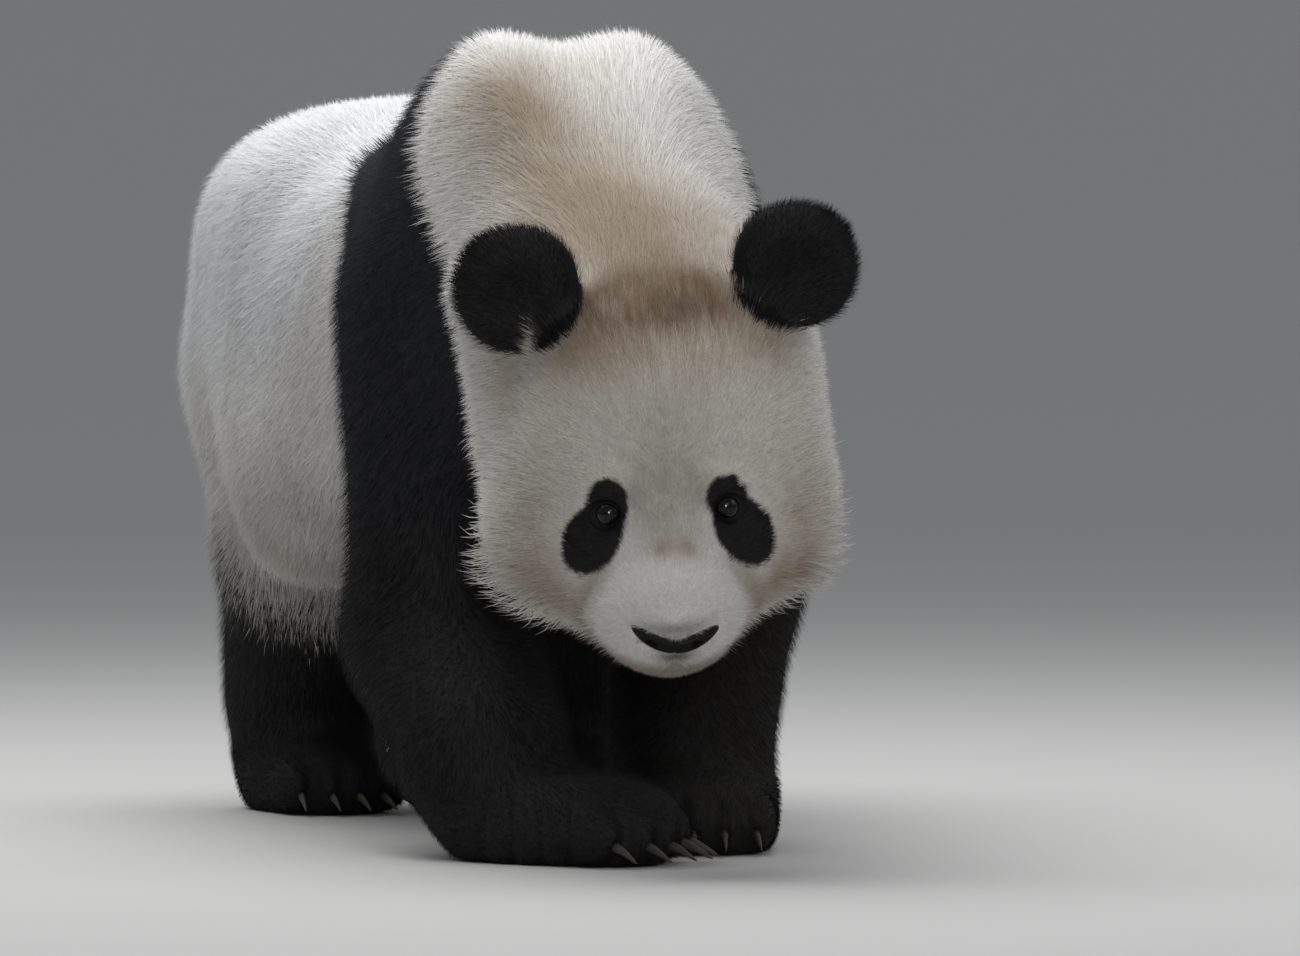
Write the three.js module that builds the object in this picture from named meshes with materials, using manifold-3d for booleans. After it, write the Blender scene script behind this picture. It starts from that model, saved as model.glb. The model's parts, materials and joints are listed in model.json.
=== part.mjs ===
// Giant panda, life size, walking with its head held low and its forefeet turned in.
// Millimetres, +Z up, head towards -Y, the animal's left towards +X, soles on Z = 0.
// The whole animal is one blended distance field out to the tips of its coat. Each sub-part is a net over
// that field, trimmed by flat cuts 0.3 mm wide, so the parts meet face to face.
import * as THREE from "three";
import { mergeVertices } from "three/addons/utils/BufferGeometryUtils.js";
import Module from "manifold-3d";

const wasm = await Module();
wasm.setup();

// ---- Driving dimensions ----
const WITHERS = 762; // top of the shoulder blades
const RUMP_TOP = 708;
const CHEST_HALF = 188; // half width of the chest behind the arms
const BELLY_HALF = 240;
const RUMP_HALF = 258;
const SHOULDER_Y = -235;
const BELLY_Y = 110;
const RUMP_Y = 355;
const SHOULDER_R = 102; // limb radii, coat included
const ELBOW_R = 98;
const WRIST_R = 88;
const HIP_R = 112;
const KNEE_R = 102;
const ANKLE_R = 90;
const EAR_SIZE = [62, 30, 70]; // half width, depth and height
const EYE_R = 11.5;
const EYE_OUT = 1.5; // how far the eye stands proud of the coat
const NOSE_SIZE = [79, 26, 40]; // width, depth and height
const NOSE_OUT = 4;
const CLAW_LENGTH = 44;
const CLAW_R = 6;
const CLAW_Z = 19; // height of a claw's middle
const CUT = 0.3; // gap between neighbouring parts
const FAR = 3000; // larger than the animal

const HEAD_AT = [26, -600, 393]; // middle of the skull
const HEAD_PITCH = 32; // snout down, degrees
const HEAD_ROLL = -2.6;
const HEAD_YAW = -10;

// Net sizes: how long a facet is on each kind of part
const CELL = { trunk: 60, limb: 48, paw: 33, head: 26, tail: 24, ear: 22 };

// Materials: colour and roughness of each slot, and which slot a kind of node has
const SLOTS = {
  white_coat: [0xd9d5cc, 0.9],
  black_coat: [0x1c1b1d, 0.88],
  tail_coat: [0xcfcabf, 0.9],
  eyeball: [0x120d0a, 0.08],
  nose_leather: [0x161415, 0.45],
  claw_horn: [0x8d8577, 0.5],
};
const SLOT_OF = {
  head: "white_coat",
  neck: "white_coat",
  chest: "black_coat",
  belly: "white_coat",
  rump: "white_coat",
  tail: "tail_coat",
  ear: "black_coat",
  upper: "black_coat",
  thigh: "white_coat",
  forearm: "black_coat",
  forepaw: "black_coat",
  shank: "black_coat",
  hindpaw: "black_coat",
  eye: "eyeball",
  nose: "nose_leather",
  foreclaw: "claw_horn",
  hindclaw: "claw_horn",
};

const rad = THREE.MathUtils.degToRad;
const clamp = THREE.MathUtils.clamp;
const SIDES = { right: -1, left: 1 };

// ---- Distance fields: functions of (x, y, z), negative inside ----

// A superellipsoid. A power of 2 is an ellipsoid, and more is boxier.
function ball([cx, cy, cz], [rx, ry, rz], power = 2) {
  return (x, y, z) => {
    const u = Math.abs(x - cx) / rx;
    const v = Math.abs(y - cy) / ry;
    const w = Math.abs(z - cz) / rz;
    const size = Math.pow(u ** power + v ** power + w ** power, 1 / power) + 1e-6;
    const slope = Math.hypot(u ** (power - 1) / rx, v ** (power - 1) / ry, w ** (power - 1) / rz);
    return ((size - 1) * size ** (power - 1)) / Math.max(slope, 1e-6);
  };
}

// A limb segment: a capsule whose radius runs from ra at a to rb at b.
function bone(a, b, ra, rb) {
  const [dx, dy, dz] = [b[0] - a[0], b[1] - a[1], b[2] - a[2]];
  const length2 = dx * dx + dy * dy + dz * dz;
  return (x, y, z) => {
    const [px, py, pz] = [x - a[0], y - a[1], z - a[2]];
    const t = clamp((px * dx + py * dy + pz * dz) / length2, 0, 1);
    return Math.hypot(px - t * dx, py - t * dy, pz - t * dz) - (ra + t * (rb - ra));
  };
}

// The union of fields, rounded over about the width k where they meet.
function blend(k, ...fields) {
  return (x, y, z) => {
    let d = fields[0](x, y, z);
    for (let i = 1; i < fields.length; i++) {
      const e = fields[i](x, y, z);
      const h = Math.max(k - Math.abs(d - e), 0) / k;
      d = Math.min(d, e) - (h * h * k) / 4;
    }
    return d;
  };
}

// A field with another one carved out of it, rounded over about k.
function carve(k, field, tool) {
  return (x, y, z) => {
    const d = field(x, y, z);
    const e = -tool(x, y, z);
    const h = Math.max(k - Math.abs(d - e), 0) / k;
    return Math.max(d, e) + (h * h * k) / 4;
  };
}

// A field made in local axes, set in place by a matrix that doesn't scale.
function placed(field, matrix) {
  const m = matrix.clone().invert().elements;
  return (x, y, z) =>
    field(
      m[0] * x + m[4] * y + m[8] * z + m[12],
      m[1] * x + m[5] * y + m[9] * z + m[13],
      m[2] * x + m[6] * y + m[10] * z + m[14],
    );
}

// A frame at a point, turned by degrees about X, then Y, then Z.
function frameAt(at, [tx, ty, tz]) {
  const turn = new THREE.Euler(rad(tx), rad(ty), rad(tz), "ZYX");
  return new THREE.Matrix4().makeRotationFromEuler(turn).setPosition(...at);
}

const toWorld = (matrix, point) => new THREE.Vector3(...point).applyMatrix4(matrix).toArray();

// ---- The body, part by part ----

function trunk() {
  const chest = ball([0, SHOULDER_Y + 25, 500], [CHEST_HALF, 225, 238], 2.3);
  const belly = ball([0, BELLY_Y, 468], [BELLY_HALF, 320, 222], 2.4);
  const rump = ball([0, RUMP_Y - 35, RUMP_TOP - 200], [RUMP_HALF, 250, 200], 3);
  const buttocks = ball([0, RUMP_Y + 45, 450], [228, 222, 204], 2.2);
  const blades = Object.values(SIDES).map((s) =>
    ball([s * 62, SHOULDER_Y - 5, WITHERS - 122], [72, 165, 122]),
  );
  const flanks = Object.values(SIDES).map((s) => ball([s * 150, BELLY_Y + 85, 338], [94, 160, 112], 2.2));
  return blend(60, chest, belly, rump, buttocks, ...blades, ...flanks);
}

// The neck, and the ruff that bunches up beside it on the side the head turns to
function neck() {
  const nape = toWorld(HEAD, [0, 60, 30]);
  const ruff = bone([-142, 74, 112], [-130, 40, -6], 53, 44);
  return blend(40, bone([0, -290, 545], nape, 172, 140), placed(ruff, HEAD));
}

const HEAD = frameAt(HEAD_AT, [HEAD_PITCH, HEAD_ROLL, HEAD_YAW]);
const EYE_AT = [52, 5]; // left eye's X and Z in the head's axes; its depth is set on the face
const NOSE_Z = -62;
const EAR_AT = { right: [-123, 4, 158], left: [123, 15, 163] };

function skull() {
  const cranium = ball([0, 12, 42], [143, 146, 122], 2.3);
  const cheeks = Object.values(SIDES).map((s) => ball([s * 88 - 4, -10, -65 + s * 4], [80, 104, 92], 2.2));
  const muzzle = bone([-4, -66, -56], [0, -172, -60], 94, 60);
  const chin = ball([-6, -158, -86], [50, 56, 34]);
  const jaw = ball([-6, -90, -88], [96, 84, 52]);
  return blend(48, cranium, ...cheeks, jaw, muzzle, chin);
}

function ear([x, y, z]) {
  const disc = ball([x, y, z], EAR_SIZE, 2.2);
  const bowl = ball([x * 1.02, y - 46, z + 4], [37, 28, 42]);
  return carve(12, disc, bowl);
}

// Each leg as the joints it passes through, and where its foot stands and points
const LEGS = {
  fore_right: {
    joints: [[-112, -228, 500], [-106, -218, 204], [-96, -362, 104]],
    radii: [SHOULDER_R, ELBOW_R, WRIST_R],
    foot: { at: [-33, -437, 0], yaw: 44, length: 252, width: 150, height: 92 },
  },
  fore_left: {
    joints: [[118, -228, 500], [146, -190, 250], [124, -236, 108]],
    radii: [SHOULDER_R, ELBOW_R, WRIST_R],
    foot: { at: [126, -288, 0], yaw: -16, length: 210, width: 146, height: 92 },
  },
  hind_right: {
    joints: [[-136, 440, 420], [-134, 360, 270], [-124, 466, 112]],
    radii: [HIP_R, KNEE_R, ANKLE_R],
    foot: { at: [-122, 422, 0], yaw: 14, length: 220, width: 138, height: 88 },
  },
  hind_left: {
    joints: [[138, 420, 420], [140, 310, 268], [130, 371, 112]],
    radii: [HIP_R, KNEE_R, ANKLE_R],
    foot: { at: [124, 322, 0], yaw: -14, length: 220, width: 138, height: 88 },
  },
};
const TOES = [-2, -1, 0, 1, 2];

const footFrame = ({ at, yaw }) => frameAt(at, [0, 0, yaw]);

// Where a toe's middle is, in its foot's axes: five in an arc across the front
function toeAt({ length, width }, toe) {
  return [toe * width * 0.2, -length * 0.36 + toe * toe * 5, 30];
}

function foot(spec) {
  const { length, width, height } = spec;
  const sole = ball([0, 0, height * 0.36], [width / 2, length / 2, height * 0.62], 2.4);
  const toes = TOES.map((toe) => ball(toeAt(spec, toe), [18, 34, 28]));
  return placed(blend(14, sole, ...toes), footFrame(spec));
}

function leg({ joints, radii, foot: spec }) {
  const [hip, knee, ankle] = joints;
  const upper = bone(hip, knee, radii[0], radii[1]);
  const lower = bone(knee, ankle, radii[1], radii[2]);
  return blend(40, blend(30, upper, lower), foot(spec));
}

function tail() {
  return bone([0, RUMP_Y + 238, 596], [0, RUMP_Y + 298, 478], 36, 30);
}

const ears = blend(1, ...Object.values(EAR_AT).map(ear));
const body = blend(
  50,
  blend(70, trunk(), neck()),
  placed(skull(), HEAD),
  blend(24, ...Object.values(LEGS).map(leg)),
  tail(),
);
const animal = blend(14, body, placed(ears, HEAD));

// ---- From a field to a closed mesh ----

const EDGES = [];
for (let corner = 0; corner < 8; corner++)
  for (const axis of [1, 2, 4]) if (!(corner & axis)) EDGES.push([corner, corner | axis]);

// Moves a point along the field's slope until it lies on the surface.
function settle(field, p) {
  const step = 0.5;
  for (let round = 0; round < 3; round++) {
    const d = field(...p);
    const slope = [0, 1, 2].map((i) => {
      const q = [...p];
      q[i] += step;
      return (field(...q) - d) / step;
    });
    const steep = slope[0] ** 2 + slope[1] ** 2 + slope[2] ** 2;
    if (steep < 0.05) return p;
    for (let i = 0; i < 3; i++) p[i] -= (d * slope[i]) / steep;
  }
  return p;
}

// Where two inside corners of a grid square meet only across its diagonal, the nearer one to the surface
// goes outside, because a net would pinch there. Returns how many it moved.
function untangle(values, size) {
  const steps = [1, size[0], size[0] * size[1]];
  let moved = 0;
  for (let n = 0; n < values.length - steps[2] - steps[1] - 1; n++)
    for (const [a, b] of [[0, 1], [0, 2], [1, 2]]) {
      const [p, q, r, s] = [n, n + steps[a], n + steps[a] + steps[b], n + steps[b]];
      const inside = [p, q, r, s].filter((c) => values[c] < 0);
      if (inside.length !== 2 || (values[p] < 0) !== (values[r] < 0)) continue;
      const nearest = values[inside[0]] > values[inside[1]] ? inside[0] : inside[1];
      values[nearest] = 0.01;
      moved++;
    }
  return moved;
}

// A surface net: one point in each cell that the surface crosses, and a quad across each crossed edge.
function net(field, low, high, cell) {
  const size = [0, 1, 2].map((i) => Math.ceil((high[i] - low[i]) / cell) + 1);
  const at = (i, j, k) => i + size[0] * (j + size[1] * k);
  const values = new Float32Array(size[0] * size[1] * size[2]);
  for (let k = 0; k < size[2]; k++)
    for (let j = 0; j < size[1]; j++)
      for (let i = 0; i < size[0]; i++) {
        const rim = [i, j, k].some((n, a) => n === 0 || n === size[a] - 1);
        const inside = field(low[0] + i * cell, low[1] + j * cell, low[2] + k * cell);
        values[at(i, j, k)] = rim ? Math.max(inside, cell / 2) : inside;
      }
  while (untangle(values, size));
  const points = [];
  const pointOf = new Map();
  for (let k = 0; k < size[2] - 1; k++)
    for (let j = 0; j < size[1] - 1; j++)
      for (let i = 0; i < size[0] - 1; i++) {
        const corner = (c) => [i + (c & 1), j + ((c >> 1) & 1), k + ((c >> 2) & 1)];
        const sum = [0, 0, 0];
        let crossings = 0;
        for (const [a, b] of EDGES) {
          const va = values[at(...corner(a))];
          const vb = values[at(...corner(b))];
          if (va < 0 === vb < 0) continue;
          const t = va / (va - vb);
          corner(a).forEach((n, axis) => (sum[axis] += n + t * (corner(b)[axis] - n)));
          crossings++;
        }
        if (!crossings) continue;
        const middle = sum.map((s, axis) => low[axis] + (s / crossings) * cell);
        const onRim = [i, j, k].some((n, a) => n < 1 || n > size[a] - 3);
        pointOf.set(at(i, j, k), points.length);
        points.push(onRim ? middle : settle(field, middle));
      }
  const faces = [];
  const gap = (a, b) => Math.hypot(...[0, 1, 2].map((n) => points[a][n] - points[b][n]));
  const quad = (ring, flip) => {
    const [a, b, c, d] = flip ? [...ring].reverse() : ring;
    if (gap(a, c) < gap(b, d)) faces.push(a, b, c, a, c, d);
    else faces.push(a, b, d, b, c, d);
  };
  for (let k = 0; k < size[2] - 1; k++)
    for (let j = 0; j < size[1] - 1; j++)
      for (let i = 0; i < size[0] - 1; i++) {
        const here = values[at(i, j, k)] < 0;
        const ring = (...cells) => cells.map((c) => pointOf.get(at(...c)));
        const crossed = (ahead, onRim) => !onRim && here !== values[ahead] < 0;
        if (crossed(at(i + 1, j, k), !j || !k))
          quad(ring([i, j - 1, k - 1], [i, j, k - 1], [i, j, k], [i, j - 1, k]), !here);
        if (crossed(at(i, j + 1, k), !i || !k))
          quad(ring([i - 1, j, k - 1], [i - 1, j, k], [i, j, k], [i, j, k - 1]), !here);
        if (crossed(at(i, j, k + 1), !i || !j))
          quad(ring([i - 1, j - 1, k], [i, j - 1, k], [i, j, k], [i - 1, j, k]), !here);
      }
  return solid(new Float32Array(points.flat()), new Uint32Array(faces));
}

const solid = (vertProperties, triVerts) =>
  new wasm.Manifold(new wasm.Mesh({ numProp: 3, vertProperties, triVerts }));

// A three.js geometry as a solid
function solidOf(geometry) {
  const bare = geometry.clone();
  bare.deleteAttribute("normal");
  bare.deleteAttribute("uv");
  const merged = mergeVertices(bare, 1e-4);
  return solid(new Float32Array(merged.attributes.position.array), new Uint32Array(merged.index.array));
}

function geometryOf(made) {
  const mesh = made.getMesh();
  const geometry = new THREE.BufferGeometry();
  geometry.setAttribute("position", new THREE.BufferAttribute(new Float32Array(mesh.vertProperties), 3));
  geometry.setIndex(new THREE.BufferAttribute(new Uint32Array(mesh.triVerts), 1));
  return geometry;
}

// ---- Cuts: a half space is [normal, offset] and keeps the side that the normal points to ----

const trimmed = (made, planes, grow) =>
  planes.reduce((rest, [normal, offset]) => rest.trimByPlane(normal, offset - grow), made);

// The half spaces of an upright box
function sides(low, high) {
  return [0, 1, 2].flatMap((axis) => {
    const normal = [0, 1, 2].map((n) => Number(n === axis));
    return [[normal, low[axis]], [normal.map((n) => -n), -high[axis]]];
  });
}

// The half space in front of a point, as seen along a direction
function infront(point, direction) {
  const normal = new THREE.Vector3(...direction).normalize();
  return [normal.toArray(), normal.dot(new THREE.Vector3(...point))];
}

const behind = ([normal, offset]) => [normal.map((n) => -n), -offset];
const mirrored = ([low, high], side) =>
  side > 0 ? [low, high] : [[-high[0], low[1], low[2]], [-low[0], high[1], high[2]]];

// ---- Where one sub-part ends and the next begins ----

const ELBOW_Z = 232;
const KNEE_Z = 218;
const PAW_Z = 104;
const FORE_SPAN = [-620, -40]; // where the forelegs and the hind legs stand, along Y
const HIND_SPAN = [150, FAR];
const LEG_CUT_X = 12; // half the space left between the two legs of a pair
const SHOULDER_CUT_X = 122;
const HIP_CUT_X = 116;
const CHEST_CUT_Y = -20;
const RUMP_CUT_Y = 222;

// A half space in the head's axes
function onHead(point, direction) {
  const turned = new THREE.Vector3(...direction).transformDirection(HEAD);
  return infront(toWorld(HEAD, point), turned.toArray());
}

const earBase = (side) => onHead([side * 83, 12, 147], [side * 0.62, 0, 0.78]);
const jawCut = onHead([0, 0, -190], [0, 0, 1]);
const headCut = onHead([0, 78, 0], [0, -1, 0]);
const neckCut = infront([0, -385, 515], [0, -0.94, -0.33]);

const parts = new Map(); // each node's solid
const claimed = []; // regions already given to a sub-part

// Gives a region to a sub-part: the animal's net inside it, less what earlier sub-parts hold.
// Where legs stand apart in one region, near says which piece is meant.
function claim(name, cell, low, high, planes = [], near = null) {
  const margin = 2.2 * cell;
  const made = net(
    animal,
    low.map((n) => n - margin),
    high.map((n) => n + margin),
    cell,
  );
  const region = [...planes, ...sides(low, high)];
  let kept = trimmed(made, region, -CUT / 2);
  for (const other of claimed) kept = kept.subtract(other);
  parts.set(name, largest(kept, near));
  return region;
}

// The piece nearest to a point, or the largest one
function largest(made, near) {
  const score = (piece) => {
    if (!near) return -piece.volume();
    const { min, max } = piece.boundingBox();
    return Math.hypot(...near.map((n, i) => (min[i] + max[i]) / 2 - n));
  };
  const pieces = made.decompose().filter((piece) => piece.volume() > 1000);
  return pieces.sort((a, b) => score(a) - score(b))[0];
}

const reserve = (region) => {
  const whole = solidOf(new THREE.BoxGeometry(FAR, FAR, FAR));
  claimed.push(trimmed(whole, region, CUT / 2));
};

for (const [name, side] of Object.entries(SIDES)) {
  const middle = toWorld(HEAD, EAR_AT[name]);
  const low = middle.map((n) => n - 105);
  const high = middle.map((n) => n + 105);
  reserve(claim(`ear_${name}`, CELL.ear, low, high, [earBase(side), onHead([0, 70, 0], [0, -1, 0])]));
}
reserve(claim("head", CELL.head, [-190, -860, 150], [240, -395, 640], [headCut, jawCut]));

for (const [name, { joints, foot: spec }] of Object.entries(LEGS)) {
  const [end, side] = name.split("_");
  const fore = end === "fore";
  const [x, y] = spec.at;
  const low = [x - 200, y - 160, PAW_Z];
  const high = [x + 200, Math.min(y + 330, fore ? FORE_SPAN[1] : FAR), fore ? ELBOW_Z : KNEE_Z];
  const inner = infront([SIDES[side] * LEG_CUT_X, 0, 0], [SIDES[side], 0, 0]);
  const middle = joints[1].map((n, i) => (n + joints[2][i]) / 2);
  claim(`${fore ? "forearm" : "shank"}_${side}`, CELL.limb, low, high, [inner], middle);
  claim(`${end}paw_${side}`, CELL.paw, [low[0], low[1], 0], [high[0], y + 170, PAW_Z], [], [x, y, 40]);
}
reserve(sides([-FAR, FORE_SPAN[0], -FAR], [FAR, FORE_SPAN[1], ELBOW_Z]));
reserve(sides([-FAR, HIND_SPAN[0], -FAR], [FAR, HIND_SPAN[1], KNEE_Z]));

reserve(claim("neck", CELL.trunk, [-230, -620, ELBOW_Z], [250, -250, 700], [neckCut, behind(headCut)]));
for (const [name, side] of Object.entries(SIDES)) {
  const arm = mirrored([[SHOULDER_CUT_X, -440, ELBOW_Z], [300, -60, 640]], side);
  reserve(claim(`upper_arm_${name}`, CELL.limb, ...arm, [behind(neckCut)]));
  const thigh = mirrored([[HIP_CUT_X, 190, KNEE_Z], [340, 585, 520]], side);
  reserve(claim(`thigh_${name}`, CELL.limb, ...thigh));
}
reserve(claim("tail", CELL.tail, [-58, RUMP_Y + 272, 420], [58, RUMP_Y + 400, 630]));
claim("chest", CELL.trunk, [-300, -480, ELBOW_Z], [300, CHEST_CUT_Y, 800], [behind(neckCut)]);
claim("belly", CELL.trunk, [-320, CHEST_CUT_Y, 150], [320, RUMP_CUT_Y, 800]);
claim("rump", CELL.trunk, [-320, RUMP_CUT_Y, KNEE_Z], [320, RUMP_Y + 400, 800]);

// ---- Eyes, nose and claws: separate pieces let into the flesh ----

// The depth along -Y, in the head's axes, at which the coat starts at (x, z)
function faceY(x, z) {
  let [out, within] = [-400, 0];
  for (let i = 0; i < 24; i++) {
    const middle = (out + within) / 2;
    if (animal(...toWorld(HEAD, [x, middle, z])) < 0) within = middle;
    else out = middle;
  }
  return out;
}

// Lets a piece into a node: the node loses the piece's space and a little more.
function letIn(node, name, make) {
  parts.set(node, largest(parts.get(node).subtract(make(CUT))));
  parts.set(name, make(0));
}

const inFrame = (geometry, frame) => solidOf(geometry.applyMatrix4(frame));
const headFrame = (at) => HEAD.clone().multiply(frameAt(at, [0, 0, 0]));

// Moves every point of a geometry by a rule that changes it in place.
function reshaped(geometry, rule) {
  const { position } = geometry.attributes;
  const point = new THREE.Vector3();
  for (let i = 0; i < position.count; i++) {
    rule(point.fromBufferAttribute(position, i));
    position.setXYZ(i, point.x, point.y, point.z);
  }
  return geometry;
}

for (const [name, side] of Object.entries(SIDES)) {
  const [x, z] = [side * EYE_AT[0], EYE_AT[1]];
  const centre = [x, faceY(x, z) + EYE_R - EYE_OUT, z];
  letIn("head", `eye_${name}`, (grow) =>
    inFrame(new THREE.IcosahedronGeometry(EYE_R + grow, 1), headFrame(centre)),
  );
}

// The nose pad: a wide low button whose two ends wrap backwards
function nosePad(grow) {
  const [width, depth, height] = NOSE_SIZE.map((n) => n / 2 + grow);
  const pad = reshaped(new THREE.SphereGeometry(1, 12, 7), (p) => {
    p.y = p.y * depth + 9 * p.x * p.x;
    p.z *= height * (1 - 0.2 * p.x * p.x);
    p.x *= width;
  });
  return inFrame(pad, headFrame([0, faceY(0, NOSE_Z) + NOSE_SIZE[1] / 2 - NOSE_OUT, NOSE_Z]));
}
letIn("head", "nose", nosePad);

// A claw: a tapering hook that leaves the toe forwards and bends down at its tip
function claw(spec, toe, grow) {
  const [x, y] = toeAt(spec, toe);
  const hook = new THREE.ConeGeometry(CLAW_R + grow, CLAW_LENGTH + 4 * grow, 5, 2);
  const bent = reshaped(hook, (p) => {
    p.z += 0.005 * (p.y + CLAW_LENGTH / 2) ** 2;
  });
  bent.rotateX(rad(190));
  const at = frameAt([x, y - 36, CLAW_Z], [0, 0, toe * 7]);
  return inFrame(bent, footFrame(spec).multiply(at));
}

for (const [name, { foot: spec }] of Object.entries(LEGS))
  for (const toe of TOES) {
    const [end, side] = name.split("_");
    letIn(`${end}paw_${side}`, `${end}claw_${side}_${toe + 3}`, (grow) => claw(spec, toe, grow));
  }

// ---- The finished group ----

export default group();

function group() {
  const made = new THREE.Group();
  const all = new THREE.Box3();
  for (const [name, piece] of parts) {
    const mesh = new THREE.Mesh(geometryOf(piece), material(name));
    mesh.name = name;
    made.add(mesh);
    all.expandByObject(mesh);
  }
  const middle = all.getCenter(new THREE.Vector3());
  made.position.set(-middle.x, -middle.y, 0);
  return made;
}

function material(name) {
  const kind = name.split("_")[0];
  const slot = SLOT_OF[kind];
  const [color, roughness] = SLOTS[slot];
  const made = new THREE.MeshStandardMaterial({ color, roughness, metalness: 0 });
  made.name = slot;
  return made;
}
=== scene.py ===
"""A life-size giant panda in mid-walk, with its head held low and its forefeet turned in.

Lengths in the shape functions are millimetres and points are metres. Shapes are worked out in the
builder's own frame, +Z up and head towards -Y, and PLACE moves them to where the solids stand. SIDES are
the animal's right and left. The skin is the zero level of a blended distance field, and the coat is
solid tufts rooted on that skin.
"""
import json
import math

import bpy
import numpy as np
from mathutils import Matrix, Vector

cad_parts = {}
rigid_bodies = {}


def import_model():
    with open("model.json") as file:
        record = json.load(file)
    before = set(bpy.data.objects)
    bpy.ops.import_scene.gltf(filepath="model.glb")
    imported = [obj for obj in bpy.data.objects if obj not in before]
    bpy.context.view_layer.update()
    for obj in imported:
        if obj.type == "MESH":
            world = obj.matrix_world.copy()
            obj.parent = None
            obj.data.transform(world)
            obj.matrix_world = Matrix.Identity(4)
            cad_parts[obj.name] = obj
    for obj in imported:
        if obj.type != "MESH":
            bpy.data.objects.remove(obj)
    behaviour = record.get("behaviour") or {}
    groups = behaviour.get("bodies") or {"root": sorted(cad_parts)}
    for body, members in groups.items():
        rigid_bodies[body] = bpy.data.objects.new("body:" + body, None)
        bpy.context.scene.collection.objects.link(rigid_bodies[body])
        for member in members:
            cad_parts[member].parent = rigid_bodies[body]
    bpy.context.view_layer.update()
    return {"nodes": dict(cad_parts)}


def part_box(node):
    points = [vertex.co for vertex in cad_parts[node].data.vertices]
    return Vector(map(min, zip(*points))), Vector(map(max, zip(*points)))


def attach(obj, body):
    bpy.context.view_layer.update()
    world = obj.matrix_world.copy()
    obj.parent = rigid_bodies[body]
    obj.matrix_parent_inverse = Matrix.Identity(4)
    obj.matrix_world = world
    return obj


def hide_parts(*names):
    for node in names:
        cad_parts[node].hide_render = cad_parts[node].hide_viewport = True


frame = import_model()

MM = 0.001
SIDES = (-1, 1)
RANDOM = np.random.default_rng(1869)
BODY = "root"

rump_low, rump_high = (np.array(corner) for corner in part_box("rump"))
RUMP_CUT = 0.22215  # where the rump's solid starts along Y, in the builder's own frame
PLACE = np.array([(rump_low[0] + rump_high[0]) / 2, rump_low[1] - RUMP_CUT, 0.0])

# ---- Sizes, in millimetres and degrees ----

SHOULDER_Y, BELLY_Y, RUMP_Y = -235, 110, 355
HEAD_AT = (26, -600, 393)
HEAD_PITCH, HEAD_ROLL, HEAD_YAW = 32, -2.6, -10
EYE_R = 11.5
OPENING_WIDE, OPENING_TALL = 10.5, 10.0  # half the lids' opening
PAD_WIDE, PAD_TALL, PAD_BULGE = 39.5, 11.5, 9.5  # half the nose pad's outline, and how far it stands out
CLAW_LENGTH, CLAW_R, CLAW_HOOK = 43.5, 5.6, 9.0
TOE_SPACING = 0.2  # of the foot's width
EAR_AT = {-1: (-123, 4, 158), 1: (123, 15, 163)}
SKIN_CELL = 9.0
FLOOR_GAP = 0.8

LEGS = {
    "fore_right": dict(
        joints=((-112, -228, 500), (-106, -218, 204), (-96, -362, 104)), radii=(102, 98, 88),
        at=(-33, -437, 0), yaw=44, length=252, width=150, height=92),
    "fore_left": dict(
        joints=((118, -228, 500), (146, -190, 250), (124, -236, 108)), radii=(102, 98, 88),
        at=(126, -288, 0), yaw=-16, length=210, width=146, height=92),
    "hind_right": dict(
        joints=((-136, 440, 420), (-134, 360, 270), (-124, 466, 112)), radii=(112, 102, 90),
        at=(-122, 422, 0), yaw=14, length=220, width=138, height=88),
    "hind_left": dict(
        joints=((138, 420, 420), (140, 310, 268), (130, 371, 112)), radii=(112, 102, 90),
        at=(124, 322, 0), yaw=-14, length=220, width=138, height=88),
}
TOES = (-2, -1, 0, 1, 2)


# ---- Small sums ----

def smooth(low, high, x):
    """0 below low, 1 above high, and between them three times the share squared less twice its cube."""
    t = np.clip((x - low) / (high - low), 0, 1)
    return t * t * (3 - 2 * t)


def mix(a, b, t):
    """a where t is 0, b where t is 1, and in proportion between."""
    t = np.asarray(t)
    return a + (np.asarray(b) - a) * (t[..., None] if np.ndim(b) else t)


def bell(t):
    """1 where t is 0, falling off on both sides as the exponential of less its square."""
    return np.exp(-t * t)


def unit(v):
    """Vectors scaled to length 1."""
    return v / np.maximum(np.linalg.norm(v, axis=-1, keepdims=True), 1e-9)


def spot(q, centre, radii):
    """1 at the centre, falling off as the bell curve of the scaled distance."""
    return np.exp(-(((q / MM - centre) / radii) ** 2).sum(-1))


def turned(tx, ty, tz):
    """The matrix that turns by degrees about X, then Y, then Z."""
    cx, cy, cz = (math.cos(math.radians(a)) for a in (tx, ty, tz))
    sx, sy, sz = (math.sin(math.radians(a)) for a in (tx, ty, tz))
    about_x = np.array([[1, 0, 0], [0, cx, -sx], [0, sx, cx]])
    about_y = np.array([[cy, 0, sy], [0, 1, 0], [-sy, 0, cy]])
    about_z = np.array([[cz, -sz, 0], [sz, cz, 0], [0, 0, 1]])
    return about_z @ about_y @ about_x


def ripple(p, size, seed):
    """Soft noise from -1 to 1: the mean of six sine waves of about a given length, in set directions."""
    rng = np.random.default_rng(seed)
    ways = unit(rng.normal(size=(6, 3))) * (2 * np.pi / size) * rng.uniform(0.7, 1.4, (6, 1))
    return np.sin(p @ ways.T + rng.uniform(0, 2 * np.pi, 6)).mean(-1) * 1.7


# ---- Distance fields: negative inside ----

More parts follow.
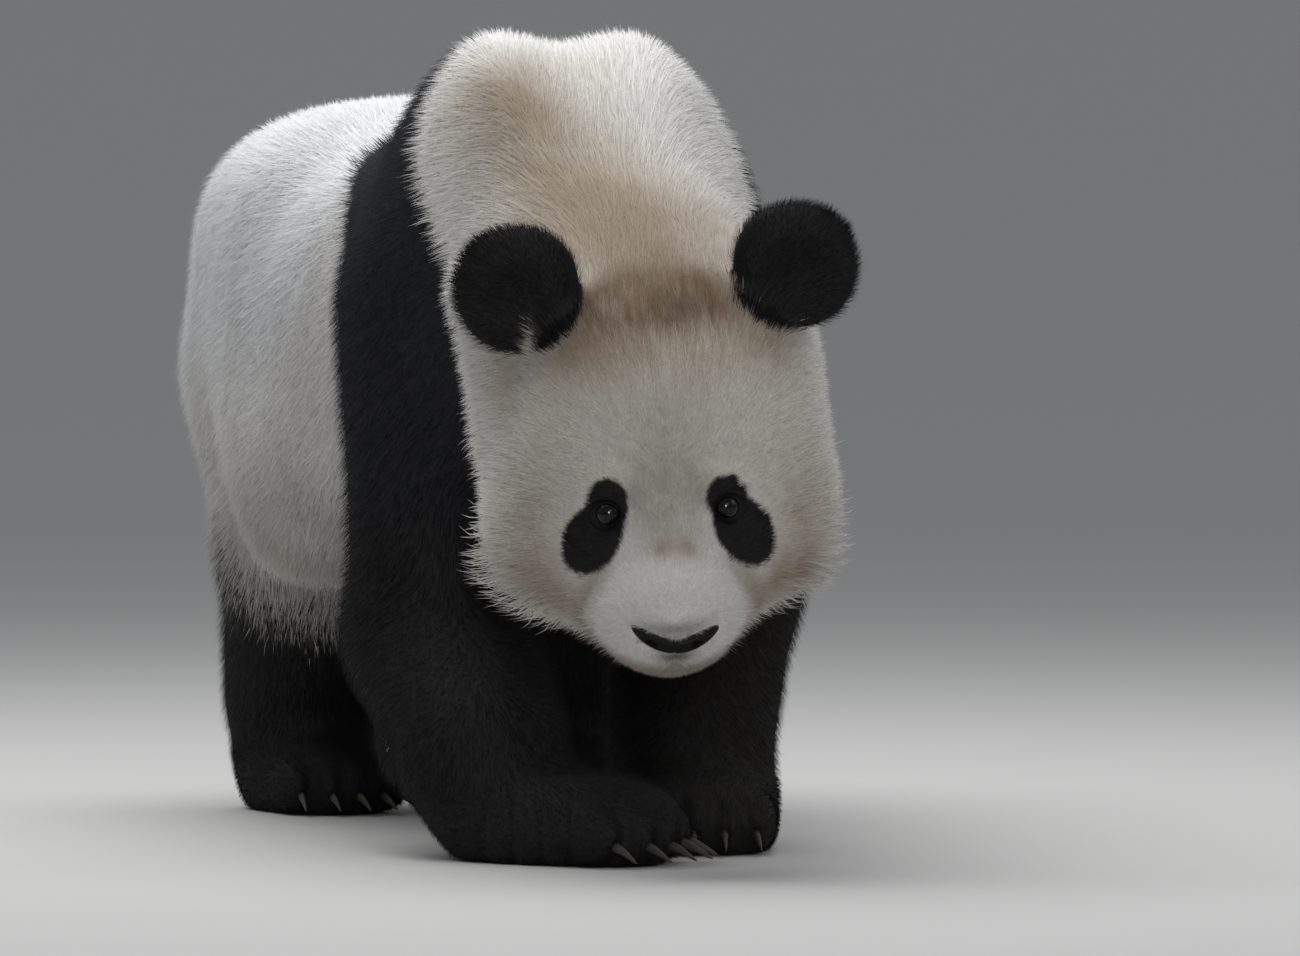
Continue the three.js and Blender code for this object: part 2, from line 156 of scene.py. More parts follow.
def ball(p, centre, radii, power=2.0):
    """Distance to a superellipsoid: the power mean of the scaled offsets, less one, over its slope."""
    radii = np.multiply(radii, MM)
    u = np.abs(p - np.multiply(centre, MM)) / radii
    less = u if power == 2 else u ** (power - 1)
    size = (less * u).sum(-1) ** (1 / power) + 1e-6
    slope = np.linalg.norm(less / radii, axis=-1)
    return (size - 1) * size ** (power - 1) / np.maximum(slope, 1e-3)


def bone(p, a, b, ra, rb):
    """Distance to a capsule from a to b, whose radius runs evenly from ra to rb."""
    a, b = np.multiply(a, MM), np.multiply(b, MM)
    along = b - a
    t = np.clip((p - a) @ along / (along @ along), 0, 1)
    return np.linalg.norm(p - a - t[:, None] * along, axis=-1) - (ra + t * (rb - ra)) * MM


def blend(k, first, *others):
    """The smaller distance, less a quarter of k times the square of how nearly two are equal."""
    d = first
    for e in others:
        h = np.maximum(k * MM - np.abs(d - e), 0) / (k * MM)
        d = np.minimum(d, e) - h * h * k * MM / 4
    return d


HEAD_TURN = turned(HEAD_PITCH, HEAD_ROLL, HEAD_YAW)


def to_head(p):
    """Points in the head's own axes: X to its left, -Y along the muzzle, Z out of the crown."""
    return (p - np.multiply(HEAD_AT, MM)) @ HEAD_TURN


def from_head(q):
    """Points given in the head's own axes."""
    return q @ HEAD_TURN.T + np.multiply(HEAD_AT, MM)


def skull(q):
    """A broad cranium, two full cheeks, a jaw and a short muzzle with a chin, blended."""
    cranium = ball(q, (0, 12, 42), (143, 146, 122), 2.3)
    cheeks = [ball(q, (s * 88 - 4, -10, -65 + s * 4), (80, 104, 92), 2.2) for s in SIDES]
    muzzle = bone(q, (-4, -66, -56), (0, -172, -60), 94, 60)
    chin = ball(q, (-6, -158, -86), (50, 56, 34))
    jaw = ball(q, (-6, -90, -88), (96, 84, 52))
    return blend(48, cranium, *cheeks, jaw, muzzle, chin)


def ear(q, side):
    """A thick round disc with a shallow bowl taken out of its front, their edge rounded over."""
    x, y, z = EAR_AT[side]
    disc = ball(q, (x, y, z), (62, 30, 70), 2.2)
    bowl = ball(q, (x * 1.02, y - 46, z + 4), (37, 28, 42))
    return -blend(12, -disc, bowl)


def trunk(p):
    """Chest, belly, rump and buttocks, with the two shoulder blades standing above the back."""
    chest = ball(p, (0, SHOULDER_Y + 25, 500), (188, 225, 238), 2.3)
    belly = ball(p, (0, BELLY_Y, 468), (240, 320, 222), 2.4)
    rump = ball(p, (0, RUMP_Y - 35, 508), (258, 250, 200), 3)
    buttocks = ball(p, (0, RUMP_Y + 45, 450), (228, 222, 204), 2.2)
    blades = [ball(p, (s * 62, SHOULDER_Y - 5, 640), (72, 165, 122)) for s in SIDES]
    flanks = [ball(p, (s * 150, BELLY_Y + 85, 338), (94, 160, 112), 2.2) for s in SIDES]
    return blend(60, chest, belly, rump, buttocks, *blades, *flanks)


def in_foot(p, leg):
    """Points in a foot's own axes: -Y towards its toes."""
    return (p - np.multiply(leg["at"], MM)) @ turned(0, 0, leg["yaw"])


def toe_at(leg, toe):
    """The middle of one of five toes, in an arc across the front of the foot."""
    return (toe * leg["width"] * TOE_SPACING, -leg["length"] * 0.36 + toe * toe * 5, 30)


def foot(p, leg):
    """A flat oval foot with five toes blended into its front."""
    f = in_foot(p, leg)
    halves = (leg["width"] / 2, leg["length"] / 2, leg["height"] * 0.62)
    sole = ball(f, (0, 0, leg["height"] * 0.36), halves, 2.4)
    return blend(14, sole, *(ball(f, toe_at(leg, toe), (18, 34, 28)) for toe in TOES))


def limb(p, leg):
    """Two tapering segments and a foot, blended."""
    (hip, knee, ankle), (r0, r1, r2) = leg["joints"], leg["radii"]
    return blend(40, blend(30, bone(p, hip, knee, r0, r1), bone(p, knee, ankle, r1, r2)), foot(p, leg))


NAPE = from_head(np.array([0, 60, 30]) * MM) / MM


def neck(p, q):
    """A tapering neck, and the ruff that bunches up beside it on the side the head turns to."""
    ruff = bone(q, (-142, 74, 112), (-130, 40, -6), 53, 44)
    return blend(40, bone(p, (0, -290, 545), NAPE, 172, 140), ruff)


def zones(p):
    """The distance to each region of the body."""
    q = to_head(p)
    found = {
        "trunk": trunk(p),
        "neck": neck(p, q),
        "head": skull(q),
        "ears": np.minimum(ear(q, -1), ear(q, 1)),
        "tail": bone(p, (0, RUMP_Y + 238, 596), (0, RUMP_Y + 298, 478), 36, 30),
    }
    return found | {name: limb(p, leg) for name, leg in LEGS.items()}


def body_of_zones(d):
    """All the regions as one distance field: the outline of the coat's tips."""
    legs = blend(24, *(d[name] for name in LEGS))
    body = blend(50, blend(70, d["trunk"], d["neck"]), d["head"], legs, d["tail"])
    return blend(14, body, d["ears"])


def shares(d, reach=22):
    """How much each region owns a point: falling off over reach beyond the nearest one, adding up to 1."""
    names = list(d)
    all_d = np.stack([d[name] for name in names])
    weight = np.exp(-(all_d - all_d.min(0)) / (reach * MM))
    weight /= weight.sum(0)
    return dict(zip(names, weight))


# ---- Where the eyes and nose are ----

def box_middle(node):
    """The middle of a solid's box, in the builder's own frame."""
    low, high = (np.array(corner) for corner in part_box(node))
    return (low + high) / 2 - PLACE


EYES = {side: to_head(box_middle(f"eye_{name}")[None])[0] for name, side in (("right", -1), ("left", 1))}
NOSE = to_head(box_middle("nose")[None])[0]
NOSE_TURN = turned(0, 4.4, 0)  # level again after the head's roll
PAD_CURVE, PAD_MIDDLE, PAD_DIP_REACH = 0.0066, -7.0, 17  # upward curve, height of the middle, top dip


def seen_from_ahead(q, about, side):
    """Place about a point of the head seen from ahead: outward, and upward, in millimetres."""
    pitch = math.radians(HEAD_PITCH)
    off = (q - about) / MM
    return side * off[:, 0], off[:, 2] * math.cos(pitch) + off[:, 1] * math.sin(pitch)


def patch_reach(q, side):
    """Below 1 inside the dark drop round an eye: the scaled distances to an oval round the eye and to a
    larger one below it and outward, blended. The lower one leans outward by a quarter of the drop."""
    outward, up = seen_from_ahead(q, EYES[side], side)
    upper = np.hypot((outward - 1.0) / 18.0, (up - 8.5) / (21.5 - 1.5 * side))
    lower = np.hypot((outward - 15.5 + 0.25 * (up + 21)) / 26.5, (up + 19) / np.where(up > -19, 27.0, 35.5))
    near = np.maximum(0.35 - np.abs(upper - lower), 0) / 0.35
    return np.minimum(upper, lower) - 0.0875 * near ** 2


# ---- The coat's depth, and the skin under it ----

def depth(p, s):
    """How deep the coat is, in metres: a sum of each region's depth by its share. On the head it runs
    from 3 mm at the nose and eyes, through 6 mm on the face, to 15 mm on the cheeks and crown."""
    q = to_head(p)
    x, y, z = q.T / MM
    wide = smooth(70, 150, np.abs(x))
    face = 5 + 4 * smooth(-150, 40, y) + 5 * wide * smooth(60, -20, z) + 4 * smooth(30, 120, y)
    from_nose = np.linalg.norm(q - NOSE, axis=-1) / MM
    face = face * (0.6 + 0.4 * smooth(35, 90, from_nose))
    for side in SIDES:
        face = face * (0.55 + 0.45 * smooth(1.0, 1.9, patch_reach(q, side)))
    total = s["head"] * face + s["ears"] * 7 + s["neck"] * 12.5 + s["trunk"] * 12.5 + s["tail"] * 12
    for name in LEGS:
        high = p[:, 2] / MM
        total = total + s[name] * (5 + 4 * smooth(30, 110, high) + 4 * smooth(110, 300, high))
    return total * MM


def lips(q, side):
    """Distance to the parting of the lips, from under the nose to the corner of the mouth."""
    return bone(q, (0, -224, -97), (side * 48, -182, -103), 0, 0)


def nose_reach(q):
    """Below 1 over the nose pad, in front: an ellipse of 37 by 9 mm, half sizes, that curves upward at its
    ends and is dipped at the top of its middle."""
    x, y, z = ((q - NOSE) @ NOSE_TURN).T / MM
    z = z - PAD_CURVE * x ** 2 - PAD_MIDDLE
    tall = np.where(z > 0, 8.0 - 3 * bell(x / PAD_DIP_REACH), 9.0)
    return np.where(y > 40, 9, (x / 37) ** 2 + (z / tall) ** 2)


def features(q):
    """What the face adds to the skin, in metres, positive where it is hollowed: eye sockets, the brow
    above each, a dip beside the bridge, the parting of the lips and the groove under the nose."""
    total = np.zeros(len(q))
    for side in SIDES:
        for off, radius, deep in (((0, 2, 0), 11, 6.5), ((side * 7, 0, -16), 20, 3.0),
                                  ((side * -2, 6, 29), 17, -1.5), ((side * -24, -8, -14), 16, 2.0)):
            total += deep * MM * spot(q, EYES[side] / MM + off, radius)
        total += 4.5 * MM * bell(lips(q, side) / (4 * MM))
        fold = bone(q, (side * 62, -170, -22), (side * 80, -146, -92), 0, 0)
        total += 3.0 * MM * bell(fold / (9 * MM))
    groove = bone(q, (0, -234, -78), (0, -222, -98), 0, 0)
    total += 2.5 * MM * bell(groove / (2.5 * MM))
    return total + 9 * MM * smooth(1.0, 0.5, nose_reach(q))


def toe_grooves(p):
    """How deep the skin is hollowed between the toes, in metres: four bell-shaped grooves in each foot."""
    total = np.zeros(len(p))
    for leg in LEGS.values():
        x, y, z = in_foot(p, leg).T / MM
        ahead = smooth(-0.26, -0.40, y / leg["length"]) * smooth(66, 40, z) * (np.abs(x) < leg["width"])
        for gap in (-1.5, -0.5, 0.5, 1.5):
            total += 4 * MM * ahead * bell((x - gap * leg["width"] * TOE_SPACING) / 5)
    return total


def skin_level(p):
    """Zero on the skin: the outline, drawn in by the coat's depth, the features and the toes' grooves, and
    flat underfoot."""
    d = zones(p)
    level = body_of_zones(d) + depth(p, shares(d)) + features(to_head(p)) + toe_grooves(p)
    return np.maximum(level, FLOOR_GAP * MM - p[:, 2])


def settled(level, p, rounds=4, step=0.4 * MM):
    """Points moved along the field's slope until the field is zero, at most 6 mm a round."""
    for _ in range(rounds):
        here = level(p)
        slope = np.stack([(level(p + step * axis) - here) / step for axis in np.eye(3)], -1)
        steep = np.maximum((slope ** 2).sum(-1), 0.2)
        move = slope * (here / steep)[:, None]
        reach = np.linalg.norm(move, axis=-1, keepdims=True)
        p = p - move * np.minimum(1, 6 * MM / np.maximum(reach, 1e-9))
    return p


def netted(level, low, high, cell):
    """A surface net: one point in each cell that the level crosses, and a quad across each crossed edge.
    The level is found on a grid four times coarser first, and then only near where that is small."""
    coarse = 4 * cell
    size = np.ceil((np.array(high) - low) / coarse).astype(int) + 1
    axes = [low[i] + coarse * np.arange(size[i]) for i in range(3)]
    far = level(np.stack(np.meshgrid(*axes, indexing="ij"), -1).reshape(-1, 3)).reshape(size)
    values = far.repeat(4, 0).repeat(4, 1).repeat(4, 2)
    near = np.argwhere(np.abs(values) < 2.2 * coarse)
    values[tuple(near.T)] = level(low + near * cell)
    for axis in range(3):
        rim = np.moveaxis(values, axis, 0)
        rim[0] = rim[-1] = cell
    inside = values < 0
    total = np.zeros([n - 1 for n in values.shape] + [3])
    count = np.zeros(total.shape[:3])
    corners = [np.array([c & 1, c >> 1 & 1, c >> 2 & 1]) for c in range(8)]
    window = lambda grid, c: grid[tuple(slice(c[i], grid.shape[i] - 1 + c[i]) for i in range(3))]
    for a in range(8):
        for bit in (1, 2, 4):
            if a & bit:
                continue
            ca, cb = corners[a], corners[a | bit]
            va, vb = window(values, ca), window(values, cb)
            cross = (va < 0) != (vb < 0)
            t = np.where(cross, va / np.where(cross, va - vb, 1), 0)
            total += cross[..., None] * (ca + t[..., None] * (cb - ca))
            count += cross
    cells = np.argwhere(count > 0)
    numbers = np.full(count.shape, -1)
    numbers[tuple(cells.T)] = np.arange(len(cells))
    points = low + (cells + total[tuple(cells.T)] / count[tuple(cells.T)][:, None]) * cell
    quads = []
    for axis in range(3):
        ahead = np.moveaxis(inside, axis, 0)
        edge = np.argwhere(np.moveaxis(ahead[:-1] != ahead[1:], 0, axis))
        one, two = (axis + 1) % 3, (axis + 2) % 3
        edge = edge[(edge[:, one] > 0) & (edge[:, two] > 0)]
        step_one, step_two = np.eye(3, dtype=int)[one], np.eye(3, dtype=int)[two]
        ring = [edge - step_one - step_two, edge - step_two, edge, edge - step_one]
        quad = np.stack([numbers[tuple(cell_at.T)] for cell_at in ring], -1)
        turn = inside[tuple(edge.T)]
        quads.append(np.where(turn[:, None], quad, quad[:, ::-1]))
    return points, np.concatenate(quads)


def refined(points, quads, chosen):
    """Splits the chosen quads in four. Their neighbours take the new edge points as extra corners.
    Returns the points, the quads, and the neighbours as rows of up to 8 corners, -1 where there is none."""
    ends = np.stack([quads, np.roll(quads, -1, 1)], -1)
    ends.sort(-1)
    keys, at = np.unique(ends.reshape(-1, 2), axis=0, return_inverse=True)
    at = at.reshape(quads.shape)
    split = np.zeros(len(keys), bool)
    split[at[chosen].ravel()] = True
    number = np.where(split, len(points) + np.cumsum(split) - 1, -1)
    middles = points[keys[split]].mean(1)
    centres = points[quads[chosen]].mean(1)
    centre = len(points) + len(middles) + np.arange(len(centres))
    corner, mid = quads[chosen], number[at[chosen]]
    quarters = [np.stack([corner[:, i], mid[:, i], centre, mid[:, i - 1]], -1) for i in range(4)]
    rest = ~chosen
    touched = rest & split[at].any(1)
    extra = np.stack([quads[touched], number[at[touched]]], -1).reshape(-1, 8)
    quads = np.concatenate([quads[rest & ~touched], *quarters])
    return np.concatenate([points, middles, centres]), quads, extra


# ---- Meshes ----

def new_mesh(name, points, faces, replaces=(), uv=None, colours=None, normals=None):
    """A finished piece from arrays. faces are rows of corners, padded with -1, and points are placed."""
    single = lambda values: values.astype(np.float32).ravel()
    mesh = bpy.data.meshes.new(name)
    faces = [np.asarray(rows) for rows in (faces if isinstance(faces, list) else [faces])]
    loops = np.concatenate([rows[rows >= 0] for rows in faces])
    counts = np.concatenate([(rows >= 0).sum(1) for rows in faces])
    mesh.vertices.add(len(points))
    mesh.vertices.foreach_set("co", single(points + PLACE))
    mesh.loops.add(len(loops))
    mesh.loops.foreach_set("vertex_index", loops.astype(np.int32))
    mesh.polygons.add(len(counts))
    mesh.polygons.foreach_set("loop_start", (np.cumsum(counts) - counts).astype(np.int32))
    mesh.update(calc_edges=True)
    mesh.polygons.foreach_set("use_smooth", np.ones(len(counts), bool))
    if uv is not None:
        mesh.uv_layers.new(name="OFBake").data.foreach_set("uv", single(uv[loops]))
    if colours is not None:
        shade = np.concatenate([colours, np.ones((len(colours), 1))], 1)
        mesh.color_attributes.new("coat", "FLOAT_COLOR", "POINT").data.foreach_set("color", single(shade))
    if normals is not None:
        facing = mesh.attributes.new("custom_normal", "FLOAT_VECTOR", "POINT")
        facing.data.foreach_set("vector", single(normals))
    mesh.update()
    piece = bpy.data.objects.new(name, mesh)
    bpy.context.scene.collection.objects.link(piece)
    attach(piece, BODY)
    if replaces:
        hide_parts(*replaces)
    return piece


def ringed(rings, wrap=False):
    """Quads between rings of points. Without wrap, each end ring is closed by a fan to its middle."""
    rows, columns = rings.shape[:2]
    i = np.arange(rows if wrap else rows - 1)[:, None]
    j = np.arange(columns)[None]
    at = lambda a, b: (a % rows) * columns + b % columns
    quads = np.stack([at(i, j), at(i, j + 1), at(i + 1, j + 1), at(i + 1, j)], -1).reshape(-1, 4)
    points = rings.reshape(-1, 3)
    if wrap:
        return points, [quads]
    tips = np.stack([rings[0].mean(0), rings[-1].mean(0)])
    j = j[0]
    first = np.stack([at(0, j + 1), at(0, j), np.full(columns, rows * columns)], -1)
    last = np.stack([at(rows - 1, j), at(rows - 1, j + 1), np.full(columns, rows * columns + 1)], -1)
    return np.concatenate([points, tips]), [quads, np.concatenate([first, last])]


# ---- Markings: the same on the skin and on the coat ----

YOKE_FRONT, YOKE_REAR = -466, -136  # the yoke's edges along Y at the height of the shoulder joint
WHITE = np.array([0.78, 0.768, 0.742])
# COOL_WHITE paints the sky's light on top of the neck and back, and the muzzle's whiter hair
COOL_WHITE = np.array([0.80, 0.815, 0.845])
TAN = np.array([0.42, 0.335, 0.235])
BROWN = np.array([0.24, 0.165, 0.105])
GREY = np.array([0.36, 0.34, 0.315])
UMBER = np.array([0.29, 0.225, 0.155])
RUST = np.array([0.150, 0.086, 0.042])
BLACK = np.array([0.0085, 0.0082, 0.0085])
BLUE_BLACK = np.array([0.0130, 0.0135, 0.0175])


def darkness(p, s):
    """How much of the coat is black, 0 to 1: the yoke over the shoulders, the forelegs, the hind legs up
    to the stifle, the ears, and a slanting drop round each eye. Soft noise moves every edge."""
    x, y, z = (p + 4 * MM * ripple(p, 0.05, 3)[:, None] + 1.5 * MM * ripple(p, 0.017, 4)[:, None]).T / MM
    q = to_head(p)
    front = YOKE_FRONT + 0.94 * np.maximum(0, z - 490) + 0.72 * np.maximum(0, 462 - z)
    rear = YOKE_REAR + 300 * np.tanh(0.21 * (np.maximum(0, p[:, 2] / MM - 426) / 154) ** 3)
    yoke = smooth(-8, 8, y - front) * smooth(8, -8, y - rear) * (1 - smooth(0.25, 0.6, s["head"]))
    fore = smooth(0.42, 0.58, s["fore_left"] + s["fore_right"]) * smooth(470, 430, z)
    under = smooth(330, 300, z) * smooth(-60, -90, y) * smooth(0.6, 0.2, s["head"])
    stifle = np.clip(184 + 0.9 * (y - 300), 168, 236) + 90 * smooth(0, 60, x)
    hind = smooth(stifle + 92, stifle - 72, z + 10 * ripple(p, 0.03, 5)) * smooth(150, 170, y)
    hind = hind * (1 - s["tail"])
    ears = smooth(0.40, 0.50, s["ears"])
    for side in SIDES:
        outward, up = seen_from_ahead(q, np.multiply(EAR_AT[side], MM), side)
        base = smooth(1.04, 0.95, np.hypot(outward / 59, up / 57)) * smooth(12, -6, q[:, 1] / MM)
        ears = np.maximum(ears, base * smooth(0.02, 0.05, s["ears"]))
        if side < 0:  # a pale notch at the foot of the right ear
            ears = ears * (1 - 0.92 * np.exp(-((outward + 7) / 5.5) ** 2 - ((up + 52) / 17) ** 2))
    total = np.maximum.reduce([yoke, fore, under, hind, ears])
    ragged = q + 0.9 * MM * ripple(p, 0.012, 8)[:, None]
    for side in SIDES:
        patch = smooth(1.13, 0.90, patch_reach(ragged, side)) * smooth(-60, -90, q[:, 1] / MM)
        total = np.maximum(total, patch)
    return total


def streaks(q):
    """Soft noise of the head, -1 to 1, drawn out along the hair, which fans out from the nose: noise of
    the direction from the nose, changing slowly with the distance from it."""
    off = q - NOSE
    reach = np.linalg.norm(off, axis=-1, keepdims=True)
    fan = 0.35 * off / reach + reach * (0.10, 0.02, 0.20)
    return 0.6 * ripple(fan, 0.030, 24) + 0.6 * ripple(fan, 0.012, 25)


# Spots on the light coat of the head, in the order in which they are laid: the middle, the reach, the
# colour, the strength, how much of that is steady, and which noise moves the rest. Most are the hair's own
# colour. Some are partly painted shade of folds, and the muzzle's white is partly painted light.
SIDE_SPOTS = (
    ((26, -34, 164), (24, 14, 18), BROWN * 0.30, 0.90, 0.6, "mottle"),
    # Painted shade of the fold between head and neck below the right ear, over its brown hair
    ((-148, -12, 78), (26, 36, 44), BROWN, 0.85, 0.6, "fine"),
    ((106, -36, 124), (40, 38, 28), BROWN * 1.3, 0.70, 0.6, "fine"),
    # Painted shade of the folds on the cheeks below the eyes, over their tan-brown hair
    ((-106, -112, -84), (48, 50, 34), BROWN * 1.3, 0.76, 0.65, "fine"),
    ((106, -112, -84), (48, 50, 34), BROWN * 1.3, 0.92, 0.65, "fine"),
    ((-126, -90, -26), (32, 50, 44), TAN * 0.9, 0.55, 0.6, "fine"),
    ((126, -90, -26), (32, 50, 44), TAN * 0.9, 0.55, 0.6, "fine"),
)
MUZZLE_SPOTS = (
    ((0, -140, 40), (34, 52, 64), GREY, 0.34, 1, "fine"),
    ((0, -140, 40), (34, 52, 64), TAN, 0.34, 0, "blotch"),
    # The muzzle's whiter hair, with painted light on its bulge
    ((-5, -205, -46), (52, 46, 34), COOL_WHITE * 0.94, 0.90, 0.8, "mottle"),
)


def with_spots(colour, q, noise, spot_tints):
    """Colours with spots mixed in one after another, of the hair's own colour and of painted shade and
    light alike: bell-shaped spots, made uneven by noise.
    """
    for where, reach, spot_tint, strength, steady, name in spot_tints:
        uneven = steady + (1 - steady) * noise[name]
        colour = mix(colour, spot_tint, strength * spot(q, where, reach) * uneven)
    return colour


def white_coat(p, s):
    """The colour of the light coat: off-white, warmed to tan on the neck, brown between and below the ears
    and on the cheeks, greyish on the bridge, and greyer low on the flanks. Painted light makes the top of
    the neck and back cooler and a little lighter and the head lighter above the face, and adds to the
    whiter hair on the muzzle's bulge. Painted shade darkens the fold below the right ear, the cheeks below
    the eyes, the crease beside the muzzle, the chin, the fur over the nose pad, the groove under the nose
    and the parting of the lips."""
    q = to_head(p)
    x, y, z = p.T / MM
    across, along, up = np.abs(q[:, 0]) / MM, q[:, 1] / MM, q[:, 2] / MM
    noise = {name: 0.5 + 0.5 * ripple(p, size, seed).clip(-1, 1)
             for name, size, seed in (("blotch", 0.10, 21), ("fine", 0.035, 22), ("mottle", 0.017, 23))}
    blotch, fine, mottle = noise.values()
    streak = streaks(q)
    # Painted light: the top of the neck and back is mixed to a cooler, slightly lighter white, as lit by
    # the sky
    colour = mix(np.tile(WHITE, (len(p), 1)), COOL_WHITE, smooth(350, 560, z) * smooth(-100, 20, y))

    down_neck = -44 + 0.50 * (640 - z)
    neck = bell((x - down_neck) / 76) * smooth(-280, -360, y) * smooth(430, 560, z)
    neck = neck * (1.35 - 0.45 * smooth(640, 740, z)) * (0.66 + 0.34 * blotch) * (0.9 + 0.1 * fine)
    colour = colour * (1 - 0.05 * s["neck"][:, None])
    colour = mix(colour, TAN * 0.78, neck.clip(0, 1) * (1 - 0.4 * s["head"]))
    collar = smooth(-415, -560, y) * smooth(470, 540, z) * smooth(190, 110, np.abs(x - 10)) * s["neck"]
    colour = mix(colour, UMBER, 0.85 * collar * (0.55 + 0.25 * fine + 0.20 * mottle))

    warmth = 0.11 + 0.06 * mottle + 0.14 * smooth(50, 130, across) + 0.10 * streak
    colour = mix(colour, TAN, warmth.clip(0, 1) * s["head"])
    colour = colour * (1 + 0.07 * streak * s["head"])[:, None]
    # Painted light: the head is a little lighter above the face, as lit from above, and a little warmer
    above_face = s["head"] * smooth(-30, 60, up)
    colour = colour * (1 + above_face[:, None] * (0.07, 0.06, 0.035))
    forehead = spot(q, (-8, -66, 146), (128, 52, 46)) * (0.52 + 0.30 * blotch + 0.22 * streak).clip(0, 1)
    colour = mix(colour, TAN * 0.9, 0.90 * forehead)
    temple = spot(q, (-72, -58, 138), (44, 40, 38)) * (0.75 + 0.25 * fine)
    colour = mix(colour, BROWN * 1.15, 0.80 * temple)
    band = (1.5 * spot(q, (-6, -24, 168), (112, 46, 44))).clip(0, 1)
    band = band * (0.78 + 0.12 * fine + 0.16 * streak).clip(0, 1)
    seam = smooth(0.03, 0.40, s["head"]) * s["neck"] * smooth(150, 100, across) * smooth(120, 150, up)
    colour = mix(colour, RUST, np.maximum(band, 0.7 * seam))
    colour = with_spots(colour, q, noise, SIDE_SPOTS)

    for side in SIDES:
        # Painted shade in the crease beside the muzzle, darkened to umber over its brown hair
        fold = bone(q, (side * 60, -168, -26), (side * 80, -140, -92), 0, 0)
        colour = mix(colour, UMBER, 0.60 * bell(fold / (13 * MM)))
        outward, higher = seen_from_ahead(q, EYES[side], side)
        brow = np.exp(-(((outward + 20) / 13) ** 2 + ((higher - 14) / 15) ** 2)) * smooth(-60, -90, along)
        colour = mix(colour, GREY * 0.75, 0.55 * brow)
    colour = with_spots(colour, q, noise, MUZZLE_SPOTS)
    smudge = 0.50 * spot(q, (3, -178, 2), (24, 16, 16)) + 0.36 * spot(q, (17, -177, -6), (8, 12, 6)) \
        + 0.34 * spot(q, (-9, -180, -4), (7, 12, 7))
    colour = mix(colour, BROWN * 1.4, smudge.clip(0, 1))
    # Painted shade under the head: the chin darkened to umber, over its own grey-tan
    chin = smooth(-86, -106, up) * smooth(-120, -165, along) * s["head"]
    colour = mix(colour, UMBER * 0.62, 0.78 * chin)
    # Painted shade: the fur just above the nose pad is greyed where it overhangs the pad
    colour = mix(colour, GREY * 0.4, 0.72 * spot(q - NOSE, (0, -4, 9), (34, 16, 7)))
    # Painted shade: a dark brown line along the parting of the lips
    for side in SIDES:
        colour = mix(colour, BROWN * 0.6, 0.65 * bell(lips(q, side) / (3.4 * MM)))
    # Painted shade: a dark spot in the groove under the nose
    colour = mix(colour, BROWN * 0.25, 0.9 * spot(q, (1, -230, -84), (18, 16, 6.5)))

    low = smooth(430, 250, z) * smooth(-100, 0, y)
    colour = mix(colour, GREY, 0.76 * low * (0.6 + 0.4 * blotch))
    rump = smooth(480, 640, y) + smooth(640, 720, z) * smooth(60, 150, y)
    colour = mix(colour, TAN, 0.20 * rump.clip(0, 1) * (0.5 + 0.5 * blotch))
    return mix(colour, TAN, 0.16 * ripple(p, 0.2, 41).clip(0, 1) * s["trunk"])


def black_coat(p, s):
    """The colour of the dark coat: black, with a lighter, bluish black on the yoke and upper legs that is
    painted sheen, browner on the left foreleg, and darker low on the forelegs.
    """
    z = p[:, 2] / MM
    # Painted sheen: a lighter, bluish black on the body and on the legs above their lower parts
    blue = np.clip(s["trunk"] + smooth(200, 420, z), 0, 1) * (1 - s["head"]) * (1 - s["ears"])
    colour = mix(np.tile(BLACK, (len(p), 1)), BLUE_BLACK, blue)
    forearms = (s["fore_left"] + s["fore_right"]) * smooth(330, 230, z) * smooth(60, 120, z)
    return mix(colour, BROWN * 0.12, 0.25 * s["fore_left"]) * (1 - 0.28 * forearms[:, None])


# ---- The skin ----

def whole_skin():
    """The skin as one closed net, finer on the head and finest on the face."""
    low, high = np.array([-0.34, -0.87, -0.05]), np.array([0.34, 0.76, 0.83])
    points, quads = netted(skin_level, low, high, SKIN_CELL * MM)
    extras = []
    for reach in ((60, 250), (-58, 190)):
        q = to_head(points[quads].mean(1)) / MM
        chosen = (q[:, 1] < reach[0]) & (np.abs(q[:, 2]) < reach[1]) & (np.abs(q[:, 0]) < 230)
        chosen &= (q[:, 2] > -168) | (q[:, 1] < -120)
        points, quads, extra = refined(points, quads, chosen)
        extras.append(extra)
    middle = points[quads].mean(1)
    toes = np.zeros(len(quads), bool)
    for leg in LEGS.values():
        x, y, z = in_foot(middle, leg).T / MM
        toes |= (np.abs(x) < leg["width"] * 0.56) & (y < -0.12 * leg["length"]) & (y > -170) & (z < 88)
    points, quads, extra = refined(points, quads, toes)
    extras.append(extra)
    return settled(skin_level, points), quads, extras


points, quads, extras = whole_skin()
skin_d = zones(points)
skin_s = shares(skin_d)
dark = darkness(points, skin_s)
# Painted shade: the skin is darker than the coat over it, as the shade deep in the coat, and its light
# parts a little warmer
skin_white = white_coat(points, skin_s) * (0.90, 0.87, 0.84)
skin_colours = skin_white + (black_coat(points, skin_s) * 0.9 - skin_white) * dark[:, None]
FLESH = [name for name in frame["nodes"] if not name.startswith(("eye_", "nose", "foreclaw", "hindclaw"))]
skin = new_mesh("skin", points, [quads, *extras], FLESH, colours=skin_colours)


def unwrapped(piece):
    """Lays the piece's faces out flat in a UV map named OFBake."""
    piece.data.uv_layers.new(name="OFBake")
    bpy.context.view_layer.objects.active = piece
    piece.select_set(True)
    bpy.ops.object.mode_set(mode="EDIT")
    bpy.ops.mesh.select_all(action="SELECT")
    bpy.ops.uv.smart_project(angle_limit=1.15, island_margin=0.004)
    bpy.ops.object.mode_set(mode="OBJECT")
    piece.select_set(False)


unwrapped(skin)

# ---- The coat ----

